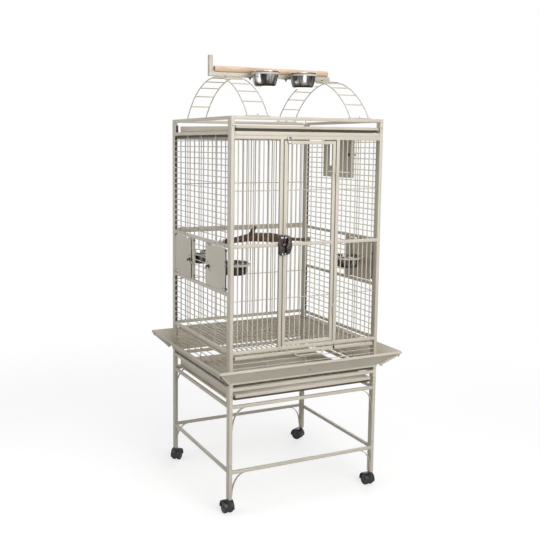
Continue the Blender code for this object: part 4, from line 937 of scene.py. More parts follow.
def corner_strip(side, face):
    """A folded channel along a mitre, and its two bolts."""
    low = Vector((side * (HALF_W + 0.006), face * (HALF_D + 0.006), FOOT + 0.0210))
    high = Vector((side * (HALF_W + 0.0590), face * (HALF_D + 0.0590), FOOT + 0.0713))
    along = (high - low).normalized()
    across = Vector((side * -face, 1.0, 0.0)).normalized()
    down = along.cross(across)
    down = down if down.z < 0.0 else -down
    reach = (high - low).length
    parts = [bar((-0.0050, -0.0006, 0.0), (0.0050, 0.0006, reach), FOLD, 1)]
    parts += [bar((x, 0.0, 0.0), (x + 0.0012, 0.0082, reach), FOLD, 1) for x in (-0.0050, 0.0038)]
    strip = joined(parts)
    turn = Matrix((across, down, along)).transposed().to_4x4()
    strip.matrix_world = Matrix.Translation(low + down * 0.0010) @ turn
    strip = tidied(settle())
    bolts = [hex_nut(low + along * share + down * 0.0088, down, 0.0032, 0.0034)
             for share in (0.007, 0.082)]
    return strip, bolts


# Dark strips along the foot of each guard stand in for the shade under its slope: painted shade.
guard_foot_shades = []
for face in FACES.values():
    guard_foot_shades.append(bar((-0.2915, face * 0.2793, 0.4672), (0.2915, face * 0.2803, 0.4757), 0.0003, 1))
for side in SIDES.values():
    guard_foot_shades.append(bar((side * 0.3043, -0.2545, 0.4672), (side * 0.3053, 0.2545, 0.4757), 0.0003, 1))
finished("seed_guard_shade_strips", guard_foot_shades, painted_shade_strip)

strips = []
strip_bolts = []
for side in SIDES.values():
    for face in FACES.values():
        strip, bolts = corner_strip(side, face)
        strips.append(strip)
        strip_bolts += bolts
finished("guard_corner_strips", strips, ivory)
finished("guard_corner_bolts", strip_bolts, dark_steel)
print("seed guards done")

# %% [markdown]
# Both trays are shallow pans. A cube is bevelled at its upright corners, its top face is
# inset by the sheet's thickness and pushed down, and the rim is rounded. Each has a folded
# lip at the front to pull it by, with a dark strip under it that is painted shade: it stands in
# for the shadow beneath the lip. The top tray's lip leans back, and below it the front edge of
# the roof closes the gap above the doorway.

# %% Waste tray and top tray
def pan(half_x, half_y, low, height, sheet=0.0014):
    """An open sheet pan with rounded corners."""
    bpy.ops.object.select_all(action="DESELECT")
    bpy.ops.mesh.primitive_cube_add(
        size=1.0, location=(0.0, 0.0, low + height / 2), scale=(2 * half_x, 2 * half_y, height))
    made = settle()
    mesh = made.data
    bpy.ops.object.mode_set(mode="EDIT")
    bpy.ops.mesh.select_mode(type="EDGE")
    bpy.ops.object.mode_set(mode="OBJECT")
    for edge in mesh.edges:
        first, second = (mesh.vertices[index].co for index in edge.vertices)
        edge.select = abs(first.z - second.z) > 0.001
    bpy.ops.object.mode_set(mode="EDIT")
    bpy.ops.mesh.bevel(offset=0.004, segments=4, affect="EDGES")
    bpy.ops.mesh.select_mode(type="FACE")
    bpy.ops.mesh.select_all(action="DESELECT")
    bpy.ops.object.mode_set(mode="OBJECT")
    for face in mesh.polygons:
        face.select = face.normal.z > 0.9
    bpy.ops.object.mode_set(mode="EDIT")
    bpy.ops.mesh.inset(thickness=sheet)
    extruded((0.0, 0.0, sheet - height))
    return softened(made, 0.0005, 2, 50.0)


waste = [pan(0.2835, 0.250, 0.4135, 0.0245)]
waste.append(bar((-0.2815, -RAIL_OUT_Y, 0.4260), (0.2815, -0.249, 0.4380), 0.0022, 3))
finished("waste_tray_sheet", waste, ivory, "stand_tray", ["stand_tray"])
# A dark strip under the waste tray's lip: painted shade beneath it.
lip_shade_strip = bar((-0.2825, -0.2720, 0.4170), (0.2825, -0.2490, 0.4262), 0.0008)
finished("waste_tray_lip_shade", [lip_shade_strip], painted_shade_strip, "stand_tray")

shelf = pan(0.2835, 0.250, 1.3498, 0.0240)
for vertex in shelf.data.vertices:
    if vertex.co.y < -0.240 and vertex.co.z > 1.366:
        vertex.co.z -= 0.0076
lip = bar((-0.2865, -RAIL_OUT_Y, 1.3588), (0.2865, -0.249, 1.3690), 0.0030, 4)
for vertex in lip.data.vertices:
    if vertex.co.z > 1.3640 and vertex.co.y < -0.270:
        vertex.co.y += 0.0050
finished("top_tray_sheet", [shelf, lip], ivory, "top_tray", ["top_tray"])
# A dark strip under the top tray's lip: painted shade beneath it.
lip_shade_strip = bar((-0.2850, -0.2700, 1.3506), (0.2850, -0.2490, 1.3592), 0.0008)
finished("top_tray_lip_shade", [lip_shade_strip], painted_shade_strip, "top_tray")
roof_edge = bar((-0.2915, -RAIL_OUT_Y, 1.3343), (0.2915, -0.2700, 1.3490), TUBE, 3)
finished("roof_front_edge", [roof_edge], ivory)
print("trays done")

# %% [markdown]
# The front door is a tube frame with a middle rail, eight bars and two cross wires. Its
# hinges are short barrels with a leaf, one on the door above one on the frame, and a pin
# head on top. Barrels are turned, so that their rims are rounded.

# %% Front door and hinges
def hinge_half(low, toward):
    """A hinge barrel with its leaf; toward is +1 to the frame and -1 to the door."""
    x = 0.10725
    y = -0.2843
    barrel = turned([
        (0.0, 0.0), (0.0034, 0.0), (0.0040, 0.0006), (0.0040, 0.0214), (0.0034, 0.0220),
        (0.0, 0.0220)], 20)
    parts = [put(barrel, (x, y, low))]
    parts.append(bar((x, -0.2820, low + 0.002), (x + toward * 0.009, -0.2787, low + 0.020), 0.0005))
    if toward < 0:
        parts.append(dome_screw((x, y, low + 0.0221), UP, 0.0030, 0.0016))
    return parts


DOOR_FOOT = 0.5953
door = []
for start in (-0.1015, 0.0935):
    door.append(bar((start, -0.2795, DOOR_FOOT), (start + 0.012, -0.2695, 1.3190), TUBE, 3))
for z, back in ((DOOR_FOOT, -0.2700), (1.3070, -0.2700), (MID_RAIL, -0.2716)):
    door.append(bar((-0.0905, -0.2790, z), (0.0945, back, z + RAIL), 0.0014, 3))
pitch = 0.183 / 9
first = -0.0895 + pitch
upright = wire((first, -0.2716, 0.6063), (first, -0.2716, 1.3080), BAR)
door.append(row(upright, 8, (pitch, 0.0, 0.0)))
door += [wire((-0.0935, -0.2686, z), (0.0975, -0.2686, z), WIRE) for z in TIES]
frame_hinges = []
for hinge_z in (0.5918 + 0.120, 0.5918 + 0.610):
    door += hinge_half(hinge_z + 0.00015, -1)
    frame_hinges += hinge_half(hinge_z - 0.02215, 1)
finished("front_door_tubes", door, ivory, "front_door", ["front_door"])
finished("front_door_hinges", frame_hinges, ivory)
print("front door done")

# %% [markdown]
# The lock is a small cast box on the door, a keeper on the doorway's post, and a lever that
# is turned up to free the door. All three are drawn outlines with rounded corners, extruded
# to their depth and softened, and the lever has a raised thumb grip. Zinc screws hold them.

# %% Door lock
def cast_block(low, high, radius, rounding):
    """A block with a rounded outline seen from the front, between two corners."""
    outline = rounded_outline((low[0], low[2]), (high[0], high[2]), radius)
    block = plate([(x, low[1], z) for x, z in outline], (0.0, high[1] - low[1], 0.0))
    return softened(block, rounding, 3, 40.0)


case = [cast_block((-0.1035, -0.2913, 0.9222), (-0.0845, -0.2798, 0.9925), 0.006, 0.0022)]
case.append(cast_block((-0.1010, -0.2940, 0.9225), (-0.0880, -0.2905, 0.9330), 0.005, 0.0012))
finished("lock_case", case, enamel, "front_door", ["door_lock_case"])

keeper = [cast_block((-0.1235, -0.2975, 0.9222), (-0.106, -0.28005, 0.9528), 0.006, 0.0020)]
keeper.append(cast_block((-0.1235, -0.2910, 0.9470), (-0.106, -0.28005, 0.9945), 0.006, 0.0020))
finished("lock_keeper", keeper, enamel, nodes=["door_lock_keeper"])

lever_hub = turned([(0.0, 0.0), (0.0090, 0.0), (0.0090, 0.0070), (0.0, 0.0070)], 28)
lever = [put(lever_hub, (-0.088, -0.2921, 0.9578), FRONT)]
lever.append(bar((-0.1125, -0.2961, 0.9538), (-0.088, -0.2926, 0.9618), 0.0008))
LEAF = (
    (-0.0945, 0.9880), (-0.0905, 0.9905), (-0.0868, 0.9890), (-0.0835, 0.9815), (-0.0805, 0.9700),
    (-0.0793, 0.9580), (-0.0802, 0.9470), (-0.0838, 0.9365), (-0.0885, 0.9290), (-0.0935, 0.9265),
    (-0.0975, 0.9290), (-0.0992, 0.9360), (-0.1010, 0.9450), (-0.1008, 0.9530), (-0.0975, 0.9590),
    (-0.0960, 0.9680), (-0.0955, 0.9790))
LEAF_X = -0.0897
LEAF_Z = 0.9600
leaf = plate([(x, -0.3052, z) for x, z in LEAF], (0.0, 0.0063, 0.0))
lever.append(softened(leaf, 0.0024, 4, 40.0))
ridge = [(LEAF_X + (x - LEAF_X) * 0.55, -0.3060, LEAF_Z + (z - LEAF_Z) * 0.72) for x, z in LEAF]
lever.append(softened(plate(ridge, (0.0, 0.0012, 0.0)), 0.0006, 2, 40.0))
finished("lock_lever", lever, enamel, "door_lock_lever", ["door_lock_lever"])

lock_screws = [dome_screw((-0.1005, -0.2940, 0.9272), FRONT, 0.0028, 0.0018)]
lock_screws.append(dome_screw((-0.1020, -0.2913, 0.9605), FRONT, 0.0022, 0.0014))
lock_screws.append(bar((-0.1035, -0.2955, 0.9805), (-0.0880, -0.2905, 0.9870), TUBE, 3))
lock_screws.append(bar((-0.0925, -0.2950, 0.9860), (-0.0870, -0.2905, 0.9975), TUBE, 3))
finished("lock_case_screws", lock_screws, bright_zinc, "front_door")
keeper_screws = [dome_screw((-0.1135, -0.2975, 0.9272), FRONT, 0.0030, 0.0018)]
keeper_screws.append(bar((-0.1185, -0.2945, 0.9805), (-0.1065, -0.2905, 0.9870), TUBE, 3))
finished("lock_keeper_screws", keeper_screws, bright_zinc)
print("lock done")

# %% [markdown]
# A small turn latch of zinc at the door's top corner hooks up over the head rail. The hook is
# a wire bent through given points, on a turned pivot, with a ball at its end to push it by.

# %% Top latch
pivot = turned([
    (0.0, -0.0008), (0.0055, -0.0008), (0.0055, 0.0052), (0.0046, 0.0066), (0.0030, 0.0070),
    (0.0, 0.0070)], 24)
top_latch = [put(pivot, (-0.083, -0.28005, 1.313), FRONT)]
HOOK = (
    (-0.0760, 1.3165), (-0.0785, 1.3115), (-0.0838, 1.3095), (-0.0885, 1.3125), (-0.0905, 1.3190),
    (-0.0905, 1.3260), (-0.0880, 1.3320), (-0.0835, 1.3340), (-0.0800, 1.3315))
top_latch.append(bent_wire([(x, -0.2832, z) for x, z in HOOK], 0.0019, 3))
ball = turned([
    (0.0, -0.0040), (0.0022, -0.0034), (0.0036, -0.0016), (0.0040, 0.0), (0.0036, 0.0016),
    (0.0022, 0.0034), (0.0, 0.0040)], 20)
top_latch.append(put(ball, (-0.0792, -0.2845, 1.3295), FRONT))
finished("door_top_turn_latch", top_latch, bright_zinc, "door_top_latch", ["door_top_latch"])
print("top latch done")

# %% [markdown]
# The bowls are spun from stainless disc: a profile is drawn from the middle of the floor up
# the wall, over the rolled rim and back down outside, and spun about the upright axis. Each
# hangs in a ring, a flat band that is turned from its cross section in the same way. Two
# short arms hold a ring; they point at a wall or at the perch bar.

# %% Bowls
BOWL_TOP = 0.0459
BOWL_PROFILE = (
    (0.0, 0.0010), (0.029, 0.0010), (0.0348, 0.0016), (0.0383, 0.0038), (0.0409, 0.0080),
    (0.0439, 0.0170), (0.0460, 0.0283), (0.0474, 0.0400), (0.0483, 0.0447), (0.0500, 0.0458),
    (0.0522, 0.0459), (0.0538, 0.0450), (0.0543, 0.0434), (0.0536, 0.0422), (0.0520, 0.0418),
    (0.0500, 0.0420), (0.0487, 0.0415), (0.0483, 0.0390), (0.0469, 0.0280), (0.0448, 0.0166),
    (0.0418, 0.0074), (0.0390, 0.0030), (0.0352, 0.0006), (0.0300, 0.0), (0.0, 0.0))
RING_ARMS = (-0.022, 0.022)


def bowl(tag, centre, low, body, deeper=1.0):
    """A round-footed bowl with a rolled rim; a deeper one is drawn out below the rim."""
    profile = [
        (radius, BOWL_TOP - (BOWL_TOP - height) * deeper) for radius, height in BOWL_PROFILE]
    made = put(turned(profile, 64), (*centre, low))
    finished("spun_bowl_" + tag, [made], stainless, body, [body], 50.0)
    print(made.name, "is", round(BOWL_TOP * deeper, 4), "high")


def ring(centre, low):
    """The flat band that a bowl hangs in."""
    band = turned([
        (0.0493, 0.0006), (0.0499, 0.0), (0.0519, 0.0), (0.0525, 0.0006), (0.0525, 0.0074),
        (0.0519, 0.0080), (0.0499, 0.0080), (0.0493, 0.0074), (0.0493, 0.0006)], 56)
    return put(band, (*centre, low))


print("bowl and ring ready")

# %% [markdown]
# A feeder door is a sheet that swings on an upright rod and carries a bowl ring on its inner
# side, so that a bowl can be filled from outside. The corners at the hinge are cut off round,
# and two notches in the top edge save weight. Screws, pivot clips, the catch and the turn latch
# are pieces of their own, because they are of other metals.

# %% Feeder doors
FEEDERS = {
    "left_rear": (-1, 1, -0.2305), "left_front": (-1, -1, -0.2305), "right_front": (1, -1, 0.243)}
PLATE_X = 0.30345
LATCH_X = 0.3048
ACROSS = 0.022
THIN_SHEET = 0.0015


def feeder_outline(near, far):
    """Outline of a feeder door from its latch edge to its hinge edge, notches included."""
    low = 0.7973
    high = 0.9506
    drop = 0.016
    dip = 0.020
    bend = far - ACROSS
    angles = [math.radians(90 * index / 6) for index in range(1, 6)]
    points = [(near, low), (bend, low)]
    for angle in angles:
        points.append((bend + ACROSS * math.sin(angle), low + drop - drop * math.cos(angle)))
    points += [(far, low + drop), (far, high - dip)]
    for angle in angles:
        points.append((bend + ACROSS * math.cos(angle), high - dip + dip * math.sin(angle)))
    points.append((bend, high))
    for centre in (0.1225, 0.0935):
        for shift, sink in ((0.0065, 0.0), (0.0055, 0.0052), (-0.0055, 0.0052), (-0.0065, 0.0)):
            points.append((centre + shift, high - sink))
    points.append((near, high))
    return points


def feeder_sheet(side, face, centre):
    """Sheet, ring and ring arms of a feeder door."""
    x = side * PLATE_X
    outline = feeder_outline(0.0705, 0.2363) if face < 0 else feeder_outline(0.0850, 0.2503)
    sheet = plate([(x - THIN_SHEET / 2, face * y, z) for y, z in outline], (THIN_SHEET, 0.0, 0.0))
    parts = [softened(sheet, FOLD, 2, 60.0), ring(centre, 0.8758)]
    start = side * (abs(centre[0]) + 0.0455)
    for shift in RING_ARMS:
        y = centre[1] + shift
        parts.append(bar((start, y - 0.001, 0.8763), (x, y + 0.001, 0.8833), FOLD, 1))
    return parts


def turn_latch(tag, node, place, side, toward, drop=0.0):
    """A turn latch on the outer face of a side: dark hub, bright finger and slanting grip."""
    x, y, z = place
    out = (side, 0.0, 0.0)
    hub = put(turned([
        (0.0, 0.0), (0.0060, 0.0), (0.0063, 0.0004), (0.0063, 0.0050), (0.0052, 0.0066),
        (0.0, 0.0066)], 22), place, out)
    heel = y - toward * 0.004
    reach = toward * 0.040
    low = z - drop
    outline = [
        (heel, z + 0.0042), (y + reach * 0.9, low + 0.0032), (y + reach, low + 0.0015),
        (y + reach, low - 0.0020), (y + reach * 0.9, low - 0.0036), (heel, z - 0.0046)]
    inner = x + side * 0.0017
    finger = plate([(inner, across, up) for across, up in outline], (side * 0.0029, 0.0, 0.0))
    finger = softened(finger, 0.0008, 2, 40.0)
    grip = bar((x + side * 0.0045, y - 0.0022, z - 0.0210),
               (x + side * 0.0085, y + 0.0022, z + 0.0125), TUBE, 3)
    pick(grip)
    slant = Matrix.Rotation(side * 0.75, 4, "X")
    grip.matrix_world = Matrix.Translation(place) @ slant @ Matrix.Translation((-x, -y, -z))
    settle()
    cap = put(turned([
        (0.0, 0.0), (0.0046, 0.0), (0.0050, 0.0010), (0.0044, 0.0034), (0.0024, 0.0046),
        (0.0, 0.0048)], 20), (x + side * 0.0080, y, z), out)
    finished(tag + "_hub", [hub, cap], dark_steel, node)
    finished(tag, [finger, grip], bright_zinc, node, [node])


def feeder_fittings(side, face):
    """Blackened screws on a feeder door, with its hinge rod and the rod's clips."""
    front_screws = ((0.0820, 0.8840), (0.2275, 0.8854), (0.2150, 0.8070))
    screws = front_screws if face < 0 else ((0.0975, 0.8835), (0.2350, 0.8120))
    out = (side, 0.0, 0.0)
    parts = [dome_screw((side * 0.3042, face * y, z), out, 0.0024, 0.0013) for y, z in screws]
    if face > 0:
        x = side * 0.3018
        parts.append(wire((x, 0.2435, 0.7956), (x, 0.2435, 0.9515), WIRE, 14))
        return parts
    x = side * PLATE_X
    parts.append(wire((x, -0.2402, 0.7990), (x, -0.2402, 0.9445), 0.0020, 14))
    for z in (0.8050, 0.8985, 0.9400):
        parts.append(bar((side * 0.3022, -0.2300, z), (side * 0.3048, -0.2462, z + 0.0055), 0.0008))
        parts.append(wire((x, -0.2435, z - 0.001), (x, -0.2435, z + 0.0065), 0.0030, 14))
    return parts


def latch_side_hardware(side, face):
    """Catch strip, corner nuts and small clips on the frame, round a feeder door."""
    catch_high = (side * 0.3010, face * 0.0850, 0.9050)
    parts = [bar((side * 0.2997, face * 0.0750, 0.8450), catch_high, 0.0005)]
    if face > 0:
        clip_high = (side * 0.3052, 0.2535, 0.9495)
        parts.append(bar((side * 0.3046, 0.2475, 0.9445), clip_high, 0.0002, 1))
    for z in (0.8097, 0.9440):
        parts.append(hex_nut((side * 0.2998, face * 0.0592, z), (0.0, -face, 0.0), 0.0034, 0.0030))
    for near, far in ((0.1450, 0.1475), (0.1450 + 0.0840, 0.1475 + 0.0840)):
        clip_high = (side * 0.3050, face * far, 0.9600)
        parts.append(bar((side * 0.3044, face * near, 0.9525), clip_high, 0.0002, 1))
    return parts


for tag, (side, face, ring_x) in FEEDERS.items():
    body = "feeder_door_" + tag
    centre = (ring_x, face * 0.1586)
    finished("feeder_sheet_" + tag, feeder_sheet(side, face, centre), ivory, body, [body])
    finished("feeder_fittings_" + tag, feeder_fittings(side, face), dark_steel, body)
    place = (side * LATCH_X, face * 0.0917, 0.8676)
    turn_latch("feeder_turn_latch_" + tag, "feeder_latch_" + tag, place, side, -face, 0.012)
    bowl(tag, centre, 0.8423, "feeder_bowl_" + tag)
    finished("feeder_catch_" + tag, latch_side_hardware(side, face), dark_steel)
print("feeder doors done")

# %% [markdown]
# The nest box door is a sheet with a tall slot for a nest box's hook. The sheet starts as a
# plane that is bisected along the slot's four lines, the face between them is deleted, and
# Solidify gives it the thickness. Cutting with bisect keeps the slot's edges straight.

# %% Nest box door
def bisected_sheet(low, high, slot_low, slot_high, x):
    """A sheet in the YZ plane with one slot."""
    bpy.ops.object.select_all(action="DESELECT")
    middle = (x, (low[0] + high[0]) / 2, (low[1] + high[1]) / 2)
    bpy.ops.mesh.primitive_plane_add(size=1.0, location=middle, rotation=(0.0, math.pi / 2, 0.0))
    made = bpy.context.object
    made.scale = (high[1] - low[1], high[0] - low[0], 1.0)
    settle()
    bpy.ops.object.mode_set(mode="EDIT")
    for axis, normal in enumerate(((0.0, 1.0, 0.0), UP)):
        for edge in (slot_low[axis], slot_high[axis]):
            bpy.ops.mesh.select_all(action="SELECT")
            bpy.ops.mesh.bisect(plane_co=[edge * part for part in normal], plane_no=normal)
    bpy.ops.mesh.select_mode(type="FACE")
    bpy.ops.mesh.select_all(action="DESELECT")
    bpy.ops.object.mode_set(mode="OBJECT")
    for face in made.data.polygons:
        inside_y = slot_low[0] < face.center.y < slot_high[0]
        face.select = inside_y and slot_low[1] < face.center.z < slot_high[1]
    bpy.ops.object.mode_set(mode="EDIT")
    bpy.ops.mesh.delete(type="FACE")
    bpy.ops.object.mode_set(mode="OBJECT")
    modified(tidied(made), "SOLIDIFY", thickness=THIN_SHEET, offset=0.0)
    return softened(tidied(made), FOLD, 2, 60.0)


nest = [bisected_sheet(
    (-0.075, 1.2005), (0.0948, 1.3355), (0.0606, 1.2230), (0.0826, 1.3130), PLATE_X)]
nest.append(wire((PLATE_X, 0.0948, 1.1988), (PLATE_X, 0.0948, 1.3372), 0.0022, 14))
finished("nest_box_sheet", nest, ivory, "nest_box_door", ["nest_box_door"])
latch_nut = hex_nut((0.3027, -0.062, 1.268), (-1.0, 0.0, 0.0), 0.0058, 0.0046)
finished("nest_box_latch_nut", [latch_nut], dark_steel, "nest_box_door")
turn_latch("nest_box_turn_latch", "nest_box_latch", (LATCH_X, -0.062, 1.268), 1, -1)
print("nest box door done")

# %% [markdown]
# The play top. Each ladder has two arched rails and ten rungs over a foot plate at each end.
# The arch is an arc of a circle, so one small ring of vertices is spun about the arch's
# centre. A rung is a wire, spun as copies about the same centre, which keeps the steps even.

# %% Ladders
ARCH_RADIUS = 0.33053
ARCH_TOP = 1.54779
ARCH_CENTRE = ARCH_TOP - ARCH_RADIUS
ARCH_ANGLE = math.radians(56.0)
LADDER_X = 0.2045


def arch_point(angle, x):
    """A point of the arch at an angle from its top."""
    down = ARCH_RADIUS * (1 - math.cos(angle))
    return Vector((x, ARCH_RADIUS * math.sin(angle), ARCH_TOP - down))


def spun(piece, steps, angle, copies=False):
    """Spin a piece about the arch's centre line, as a surface or as copies."""
    pick(piece)
    editing()
    bpy.ops.mesh.spin(
        steps=steps, dupli=copies, angle=angle, center=(0.0, 0.0, ARCH_CENTRE),
        axis=(1.0, 0.0, 0.0))
    bpy.ops.object.mode_set(mode="OBJECT")
    return piece


def arched_rail(x):
    """One rail of a ladder: a ring of vertices spun along the arch."""
    bpy.ops.object.select_all(action="DESELECT")
    bpy.ops.mesh.primitive_circle_add(
        vertices=12, radius=0.0022, fill_type="NGON", location=arch_point(-ARCH_ANGLE, x),
        rotation=(ARCH_ANGLE - math.pi / 2, 0.0, 0.0))
    return tidied(spun(settle(), 36, 2 * ARCH_ANGLE))


def ladder(name, middle):
    """A whole ladder with its foot plates."""
    parts = [arched_rail(middle - 0.039), arched_rail(middle + 0.039)]
    first = math.radians(-45.0)
    rung = wire(arch_point(first, middle - 0.0385), arch_point(first, middle + 0.0385), BAR, 12)
    parts.append(spun(rung, 9, math.radians(90.0), True))
    for face in FACES.values():
        plate_high = (middle + 0.0465, face * 0.270, 1.4028)
        parts.append(bar((middle - 0.0465, face * 0.279, 1.4003), plate_high, 0.0006))
    finished(name + "_wire", parts, ivory, nodes=[name])
    nuts = [wing_nut((middle, face * 0.2745, 1.4029), UP, 0.5, 0.62) for face in FACES.values()]
    finished(name + "_foot_nuts", nuts, bright_zinc)


ladder("ladder_left", -LADDER_X)
ladder("ladder_right", LADDER_X)
print("ladders done")

# %% [markdown]
# A square tube lies over both ladders and carries a turned dowel, an upright end and two
# bowl rings. Strap clamps with screws hold it to the ladders, and a bolt goes through
# the dowel. The dowel is a cylinder whose ends are eased with a bevel.

# %% Perch bar, dowel and top bowls
BAR_LOW = ARCH_TOP + 0.0033
BAR_HIGH = BAR_LOW + 0.016
RING_LOW = BAR_HIGH - 0.009
TOP_BOWLS = {"top_left": -0.0715, "top_right": 0.0875}
TOP_BOWL_Y = -0.066
beam = [bar((-0.270, -0.008, BAR_LOW), (0.240, 0.008, BAR_HIGH), 0.0019, 3)]
beam.append(bar((-0.2697, -0.0077, BAR_LOW + 0.001), (-0.254, 0.0077, BAR_LOW + 0.0754), 0.0019, 3))
for x in TOP_BOWLS.values():
    beam.append(ring((x, TOP_BOWL_Y), RING_LOW))
    for shift in RING_ARMS:
        arm_low = (x + shift - 0.001, -0.0205, RING_LOW + 0.0005)
        beam.append(bar(arm_low, (x + shift + 0.001, -0.007, RING_LOW + 0.0075), FOLD, 1))
finished("perch_beam", beam, ivory, nodes=["perch_bar"])
for tag, body in zip(TOP_BOWLS, ("top_bowl_left", "top_bowl_right")):
    bowl(tag, (TOP_BOWLS[tag], TOP_BOWL_Y), RING_LOW - 0.0335, body, 1.18)

dowel_z = BAR_HIGH + 0.0003 + 0.011
dowel = wire((-0.247, 0.0, dowel_z), (0.231, 0.0, dowel_z), 0.011, 40)
finished("turned_dowel", [softened(dowel, 0.0012, 3, 60.0)], dowel_finish, nodes=["perch_dowel"])
clamps = []
for x in (-0.103, 0.048, -LADDER_X, LADDER_X):
    strap_high = (x + 0.004, 0.0086, BAR_LOW + 0.0030)
    clamps.append(bar((x - 0.004, -0.0086, BAR_LOW - 0.0012), strap_high, 0.0006))
    clamps.append(wire((x, -0.0040, BAR_LOW - 0.0085), (x, -0.0040, BAR_LOW), BAR, 12))
    clamps.append(hex_nut((x, -0.0040, BAR_LOW - 0.0050), UP, 0.0040, 0.0030))
finished("perch_clamps", clamps, dark_steel)
dowel_bolt = dome_screw((0.196, 0.0, BAR_HIGH + 0.0221), UP, 0.0042, 0.0022)
finished("dowel_bolt", [dowel_bolt], bright_zinc)
print("play top done")

# %% [markdown]
# Inside hangs a natural branch. It is drawn as a curve with a radius at each point, turned
# into a mesh, remeshed so that the stub grows out of it without a seam, and pushed in and out
# by a cloud texture. The bark's finer ridges are left to the material.

# %% The branch perch
BRANCH = (
    (-0.2844, -0.1967, 0.9683, 0.0096), (-0.2444, -0.1617, 0.9653, 0.0100),
    (-0.1752, -0.1105, 0.9648, 0.0135), (-0.1163, -0.0674, 0.9623, 0.0165),
    (-0.0462, -0.0151, 0.9533, 0.0185), (0.0241, 0.0369, 0.9433, 0.0185),
    (0.0772, 0.0757, 0.9343, 0.0160), (0.1178, 0.1059, 0.9273, 0.0110),
    (0.1767, 0.1493, 0.9183, 0.0075), (0.2592, 0.2156, 0.9063, 0.0068),
    (0.2878, 0.2358, 0.9029, 0.0068))
STUB = (
    (-0.1340, -0.0809, 0.9638, 0.0120), (-0.1185, -0.0690, 0.9840, 0.0095),
    (-0.1031, -0.0579, 0.9988, 0.0070))
BARK_SHARE = 0.97


def branch():
    """The branch with its stub, remeshed and roughened."""
    stems = []
    for stem in (BRANCH, STUB):
        points = [(x, y, z, radius * BARK_SHARE) for x, y, z, radius in stem]
        stems.append(bent_wire(points, 1.0, 5, 8))
    wood = modified(joined(stems), "REMESH", mode="VOXEL", voxel_size=0.0022)
    lumps = bpy.data.textures.new("bark_lumps", "CLOUDS")
    lumps.noise_scale = 0.018
    lumps.noise_depth = 3
    return modified(wood, "DISPLACE", texture=lumps, texture_coords="LOCAL",
                    strength=0.0040, mid_level=0.55)


def branch_bolt(side, y, z, inner, outer):
    """A washer each side of the wires, a stud and a wing nut."""
    out = (side, 0.0, 0.0)
    parts = []
    for start in (inner - 0.0015, outer):
        disc = turned([
            (0.0, 0.0), (0.0080, 0.0), (0.0084, 0.0003), (0.0084, 0.0012), (0.0080, 0.0015),
            (0.0, 0.0015)], 28)
        parts.append(put(disc, (side * start, y, z), out))
    parts.append(wire((side * (inner - 0.0007), y, z), (side * (outer + 0.0117), y, z), 0.0025, 14))
    parts.append(wing_nut((side * (outer + 0.0015), y, z), out, math.pi / 2, 0.75))
    name = "left" if side < 0 else "right"
    finished("branch_wing_bolt_" + name, parts, bright_zinc, nodes=["branch_bolt_" + name])


branch_piece = finished("branch_perch_bark", [branch()], bark, nodes=["branch_perch"], angle=60.0)
branch_bolt(-1, -0.1967, 0.9683, 0.2942, 0.3048)
branch_bolt(1, 0.2358, 0.9029, 0.2976, 0.3014)
print("branch faces:", len(branch_piece.data.polygons))

# %% [markdown]
# Twin-wheel casters. The wheels are turned with a hollow hub, and the hood is one cross
# section, a web with a curved roof, spun about the axle and closed at both ends. All is made
# at the origin with the axle along Y, then turned to the caster's angle and moved under its leg.

# %% Casters
CASTERS = {
    "front_left": (-1, -1, 88.0), "front_right": (1, -1, 90.0), "back_left": (-1, 1, 50.0),
    "back_right": (1, 1, 118.0)}
WHEEL = 0.0225
TRAIL = 0.018
HOOD_HALF = (
    (0.0160, 0.0253), (0.0190, 0.0246), (0.0198, 0.0236), (0.0190, 0.0232), (0.0024, 0.0234),
    (0.0024, 0.0042))


def wheel_pair():
    """Rubber rims and nylon hubs of both wheels."""
    rims = []
    hubs = []
    for side in (-1, 1):
        place = (TRAIL, side * 0.0099, WHEEL)
        rims.append(put(turned([
            (0.0170, -0.0066), (0.0200, -0.0070), (0.0216, -0.0058), (0.0225, -0.0036),
            (0.0225, 0.0036), (0.0216, 0.0058), (0.0200, 0.0070), (0.0170, 0.0066),
            (0.0170, -0.0066)], 44), place, (0.0, side, 0.0)))
        hubs.append(put(turned([
            (0.0, -0.0064), (0.0172, -0.0064), (0.0172, 0.0060), (0.0150, 0.0064),
            (0.0140, 0.0046), (0.0070, 0.0042), (0.0062, 0.0062), (0.0048, 0.0070),
            (0.0, 0.0072)], 36), place, (0.0, side, 0.0)))
    hubs.append(wire((TRAIL, -0.004, WHEEL), (TRAIL, 0.004, WHEEL), 0.0034, 18))
    return rims, hubs


def hood():
    """Roof and web over the wheels, with the socket of the stem."""
    left_half = [(-y, radius) for y, radius in HOOD_HALF]
    section = [left_half[3], left_half[2], left_half[1], left_half[0], *HOOD_HALF,
               left_half[5], left_half[4], left_half[3]]
    start = math.radians(-15.0)
    shell = drawn_line([
        (TRAIL + radius * math.cos(start), y, WHEEL + radius * math.sin(start))
        for y, radius in section])
    bpy.ops.mesh.remove_doubles(threshold=0.00001)
    bpy.ops.mesh.select_all(action="SELECT")
    bpy.ops.mesh.spin(
        steps=30, angle=math.radians(210.0), center=(TRAIL, 0.0, WHEEL), axis=(0.0, 1.0, 0.0))
    bpy.ops.mesh.select_all(action="SELECT")
    bpy.ops.mesh.remove_doubles(threshold=0.00001)
    bpy.ops.mesh.select_all(action="SELECT")
    bpy.ops.mesh.fill_holes(sides=0)
    bpy.ops.object.mode_set(mode="OBJECT")
    socket = turned([
        (0.0, 0.030), (0.0078, 0.030), (0.0078, 0.0490), (0.0070, 0.0500), (0.0055, 0.0505),
        (0.0055, 0.0570), (0.0, 0.0570)], 24)
    return [tidied(shell), socket]


def under_leg(pieces, side, face, turn):
    """Turn a caster's pieces to its angle and move them under its leg."""
    for piece in pieces:
        moved(piece, (side * 0.2985, face * 0.2675, 0.0), (0.0, 0.0, math.radians(turn)))
    return pieces


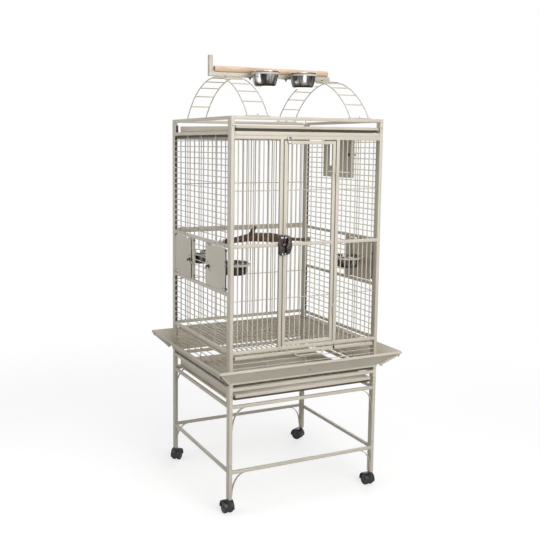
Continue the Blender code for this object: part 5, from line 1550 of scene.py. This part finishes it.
for corner, (side, face, turn) in CASTERS.items():
    rims, hubs = wheel_pair()
    wheels = "caster_wheels_" + corner
    body = "caster_hood_" + corner
    finished("caster_rims_" + corner, under_leg(rims, side, face, turn), rubber, wheels)
    finished("caster_hubs_" + corner, under_leg(hubs, side, face, turn), black_nylon,
             wheels, [wheels])
    finished("caster_roof_" + corner, under_leg(hood(), side, face, turn), black_nylon,
             body, [body])
    plug = turned([(0.0, 0.0577), (0.0088, 0.0577), (0.0088, 0.0592), (0.0, 0.0592)], 24)
    finished("leg_plug_" + corner, under_leg([plug], side, face, 0.0), black_nylon)
print("casters done")

# %% [markdown]
# Last, the small hardware that shows how the cage is put together: domed knobs that hold the
# top tray, screws through legs and guards, a tray stop, and the little tab over the grate.
# They are turned once by the same helpers and set where the photograph shows them.

# %% Knobs and screws
KNOB_X = 0.2985
knobs = []
for side in SIDES.values():
    knobs.append(dome_screw((side * KNOB_X, -HALF_D, 1.3695), FRONT, 0.0042, 0.0040))
    for face in FACES.values():
        for z in (0.183, 0.435, 0.520, 1.365)[:3 if face < 0 else 4]:
            place = (side * KNOB_X, face * HALF_D, z)
            knobs.append(dome_screw(place, (0.0, face, 0.0), 0.0030, 0.0020))
for side in (1, -1):
    knobs.append(dome_screw((side * HALF_W, -0.2675, 0.9105), (side, 0.0, 0.0), 0.0042, 0.0042))
finished("frame_knobs", knobs, bright_zinc)

stop = [wire((-0.0185, -0.2765, 1.3800), (-0.0185, -0.2765, 1.3885), 0.0024, 14)]
stop.append(wing_nut((-0.0185, -0.2765, 1.3830), (0.0, 0.0, -1.0)))
finished("top_tray_stop", stop, bright_zinc)

tab = [bar((0.1105, -0.2815, 0.5640), (0.1165, -0.2793, 0.5755), 0.0008)]
tab.append(dome_screw((-0.0050, -0.3165, 0.5090), (0.0, -0.68, 0.73), 0.0020, 0.0008))
finished("grate_tab", tab, dark_steel)
tab_knob = dome_screw((0.1150, -0.2794, 0.5815), FRONT, 0.0048, 0.0050)
finished("grate_tab_knob", [tab_knob], bright_zinc)
print("hardware done")
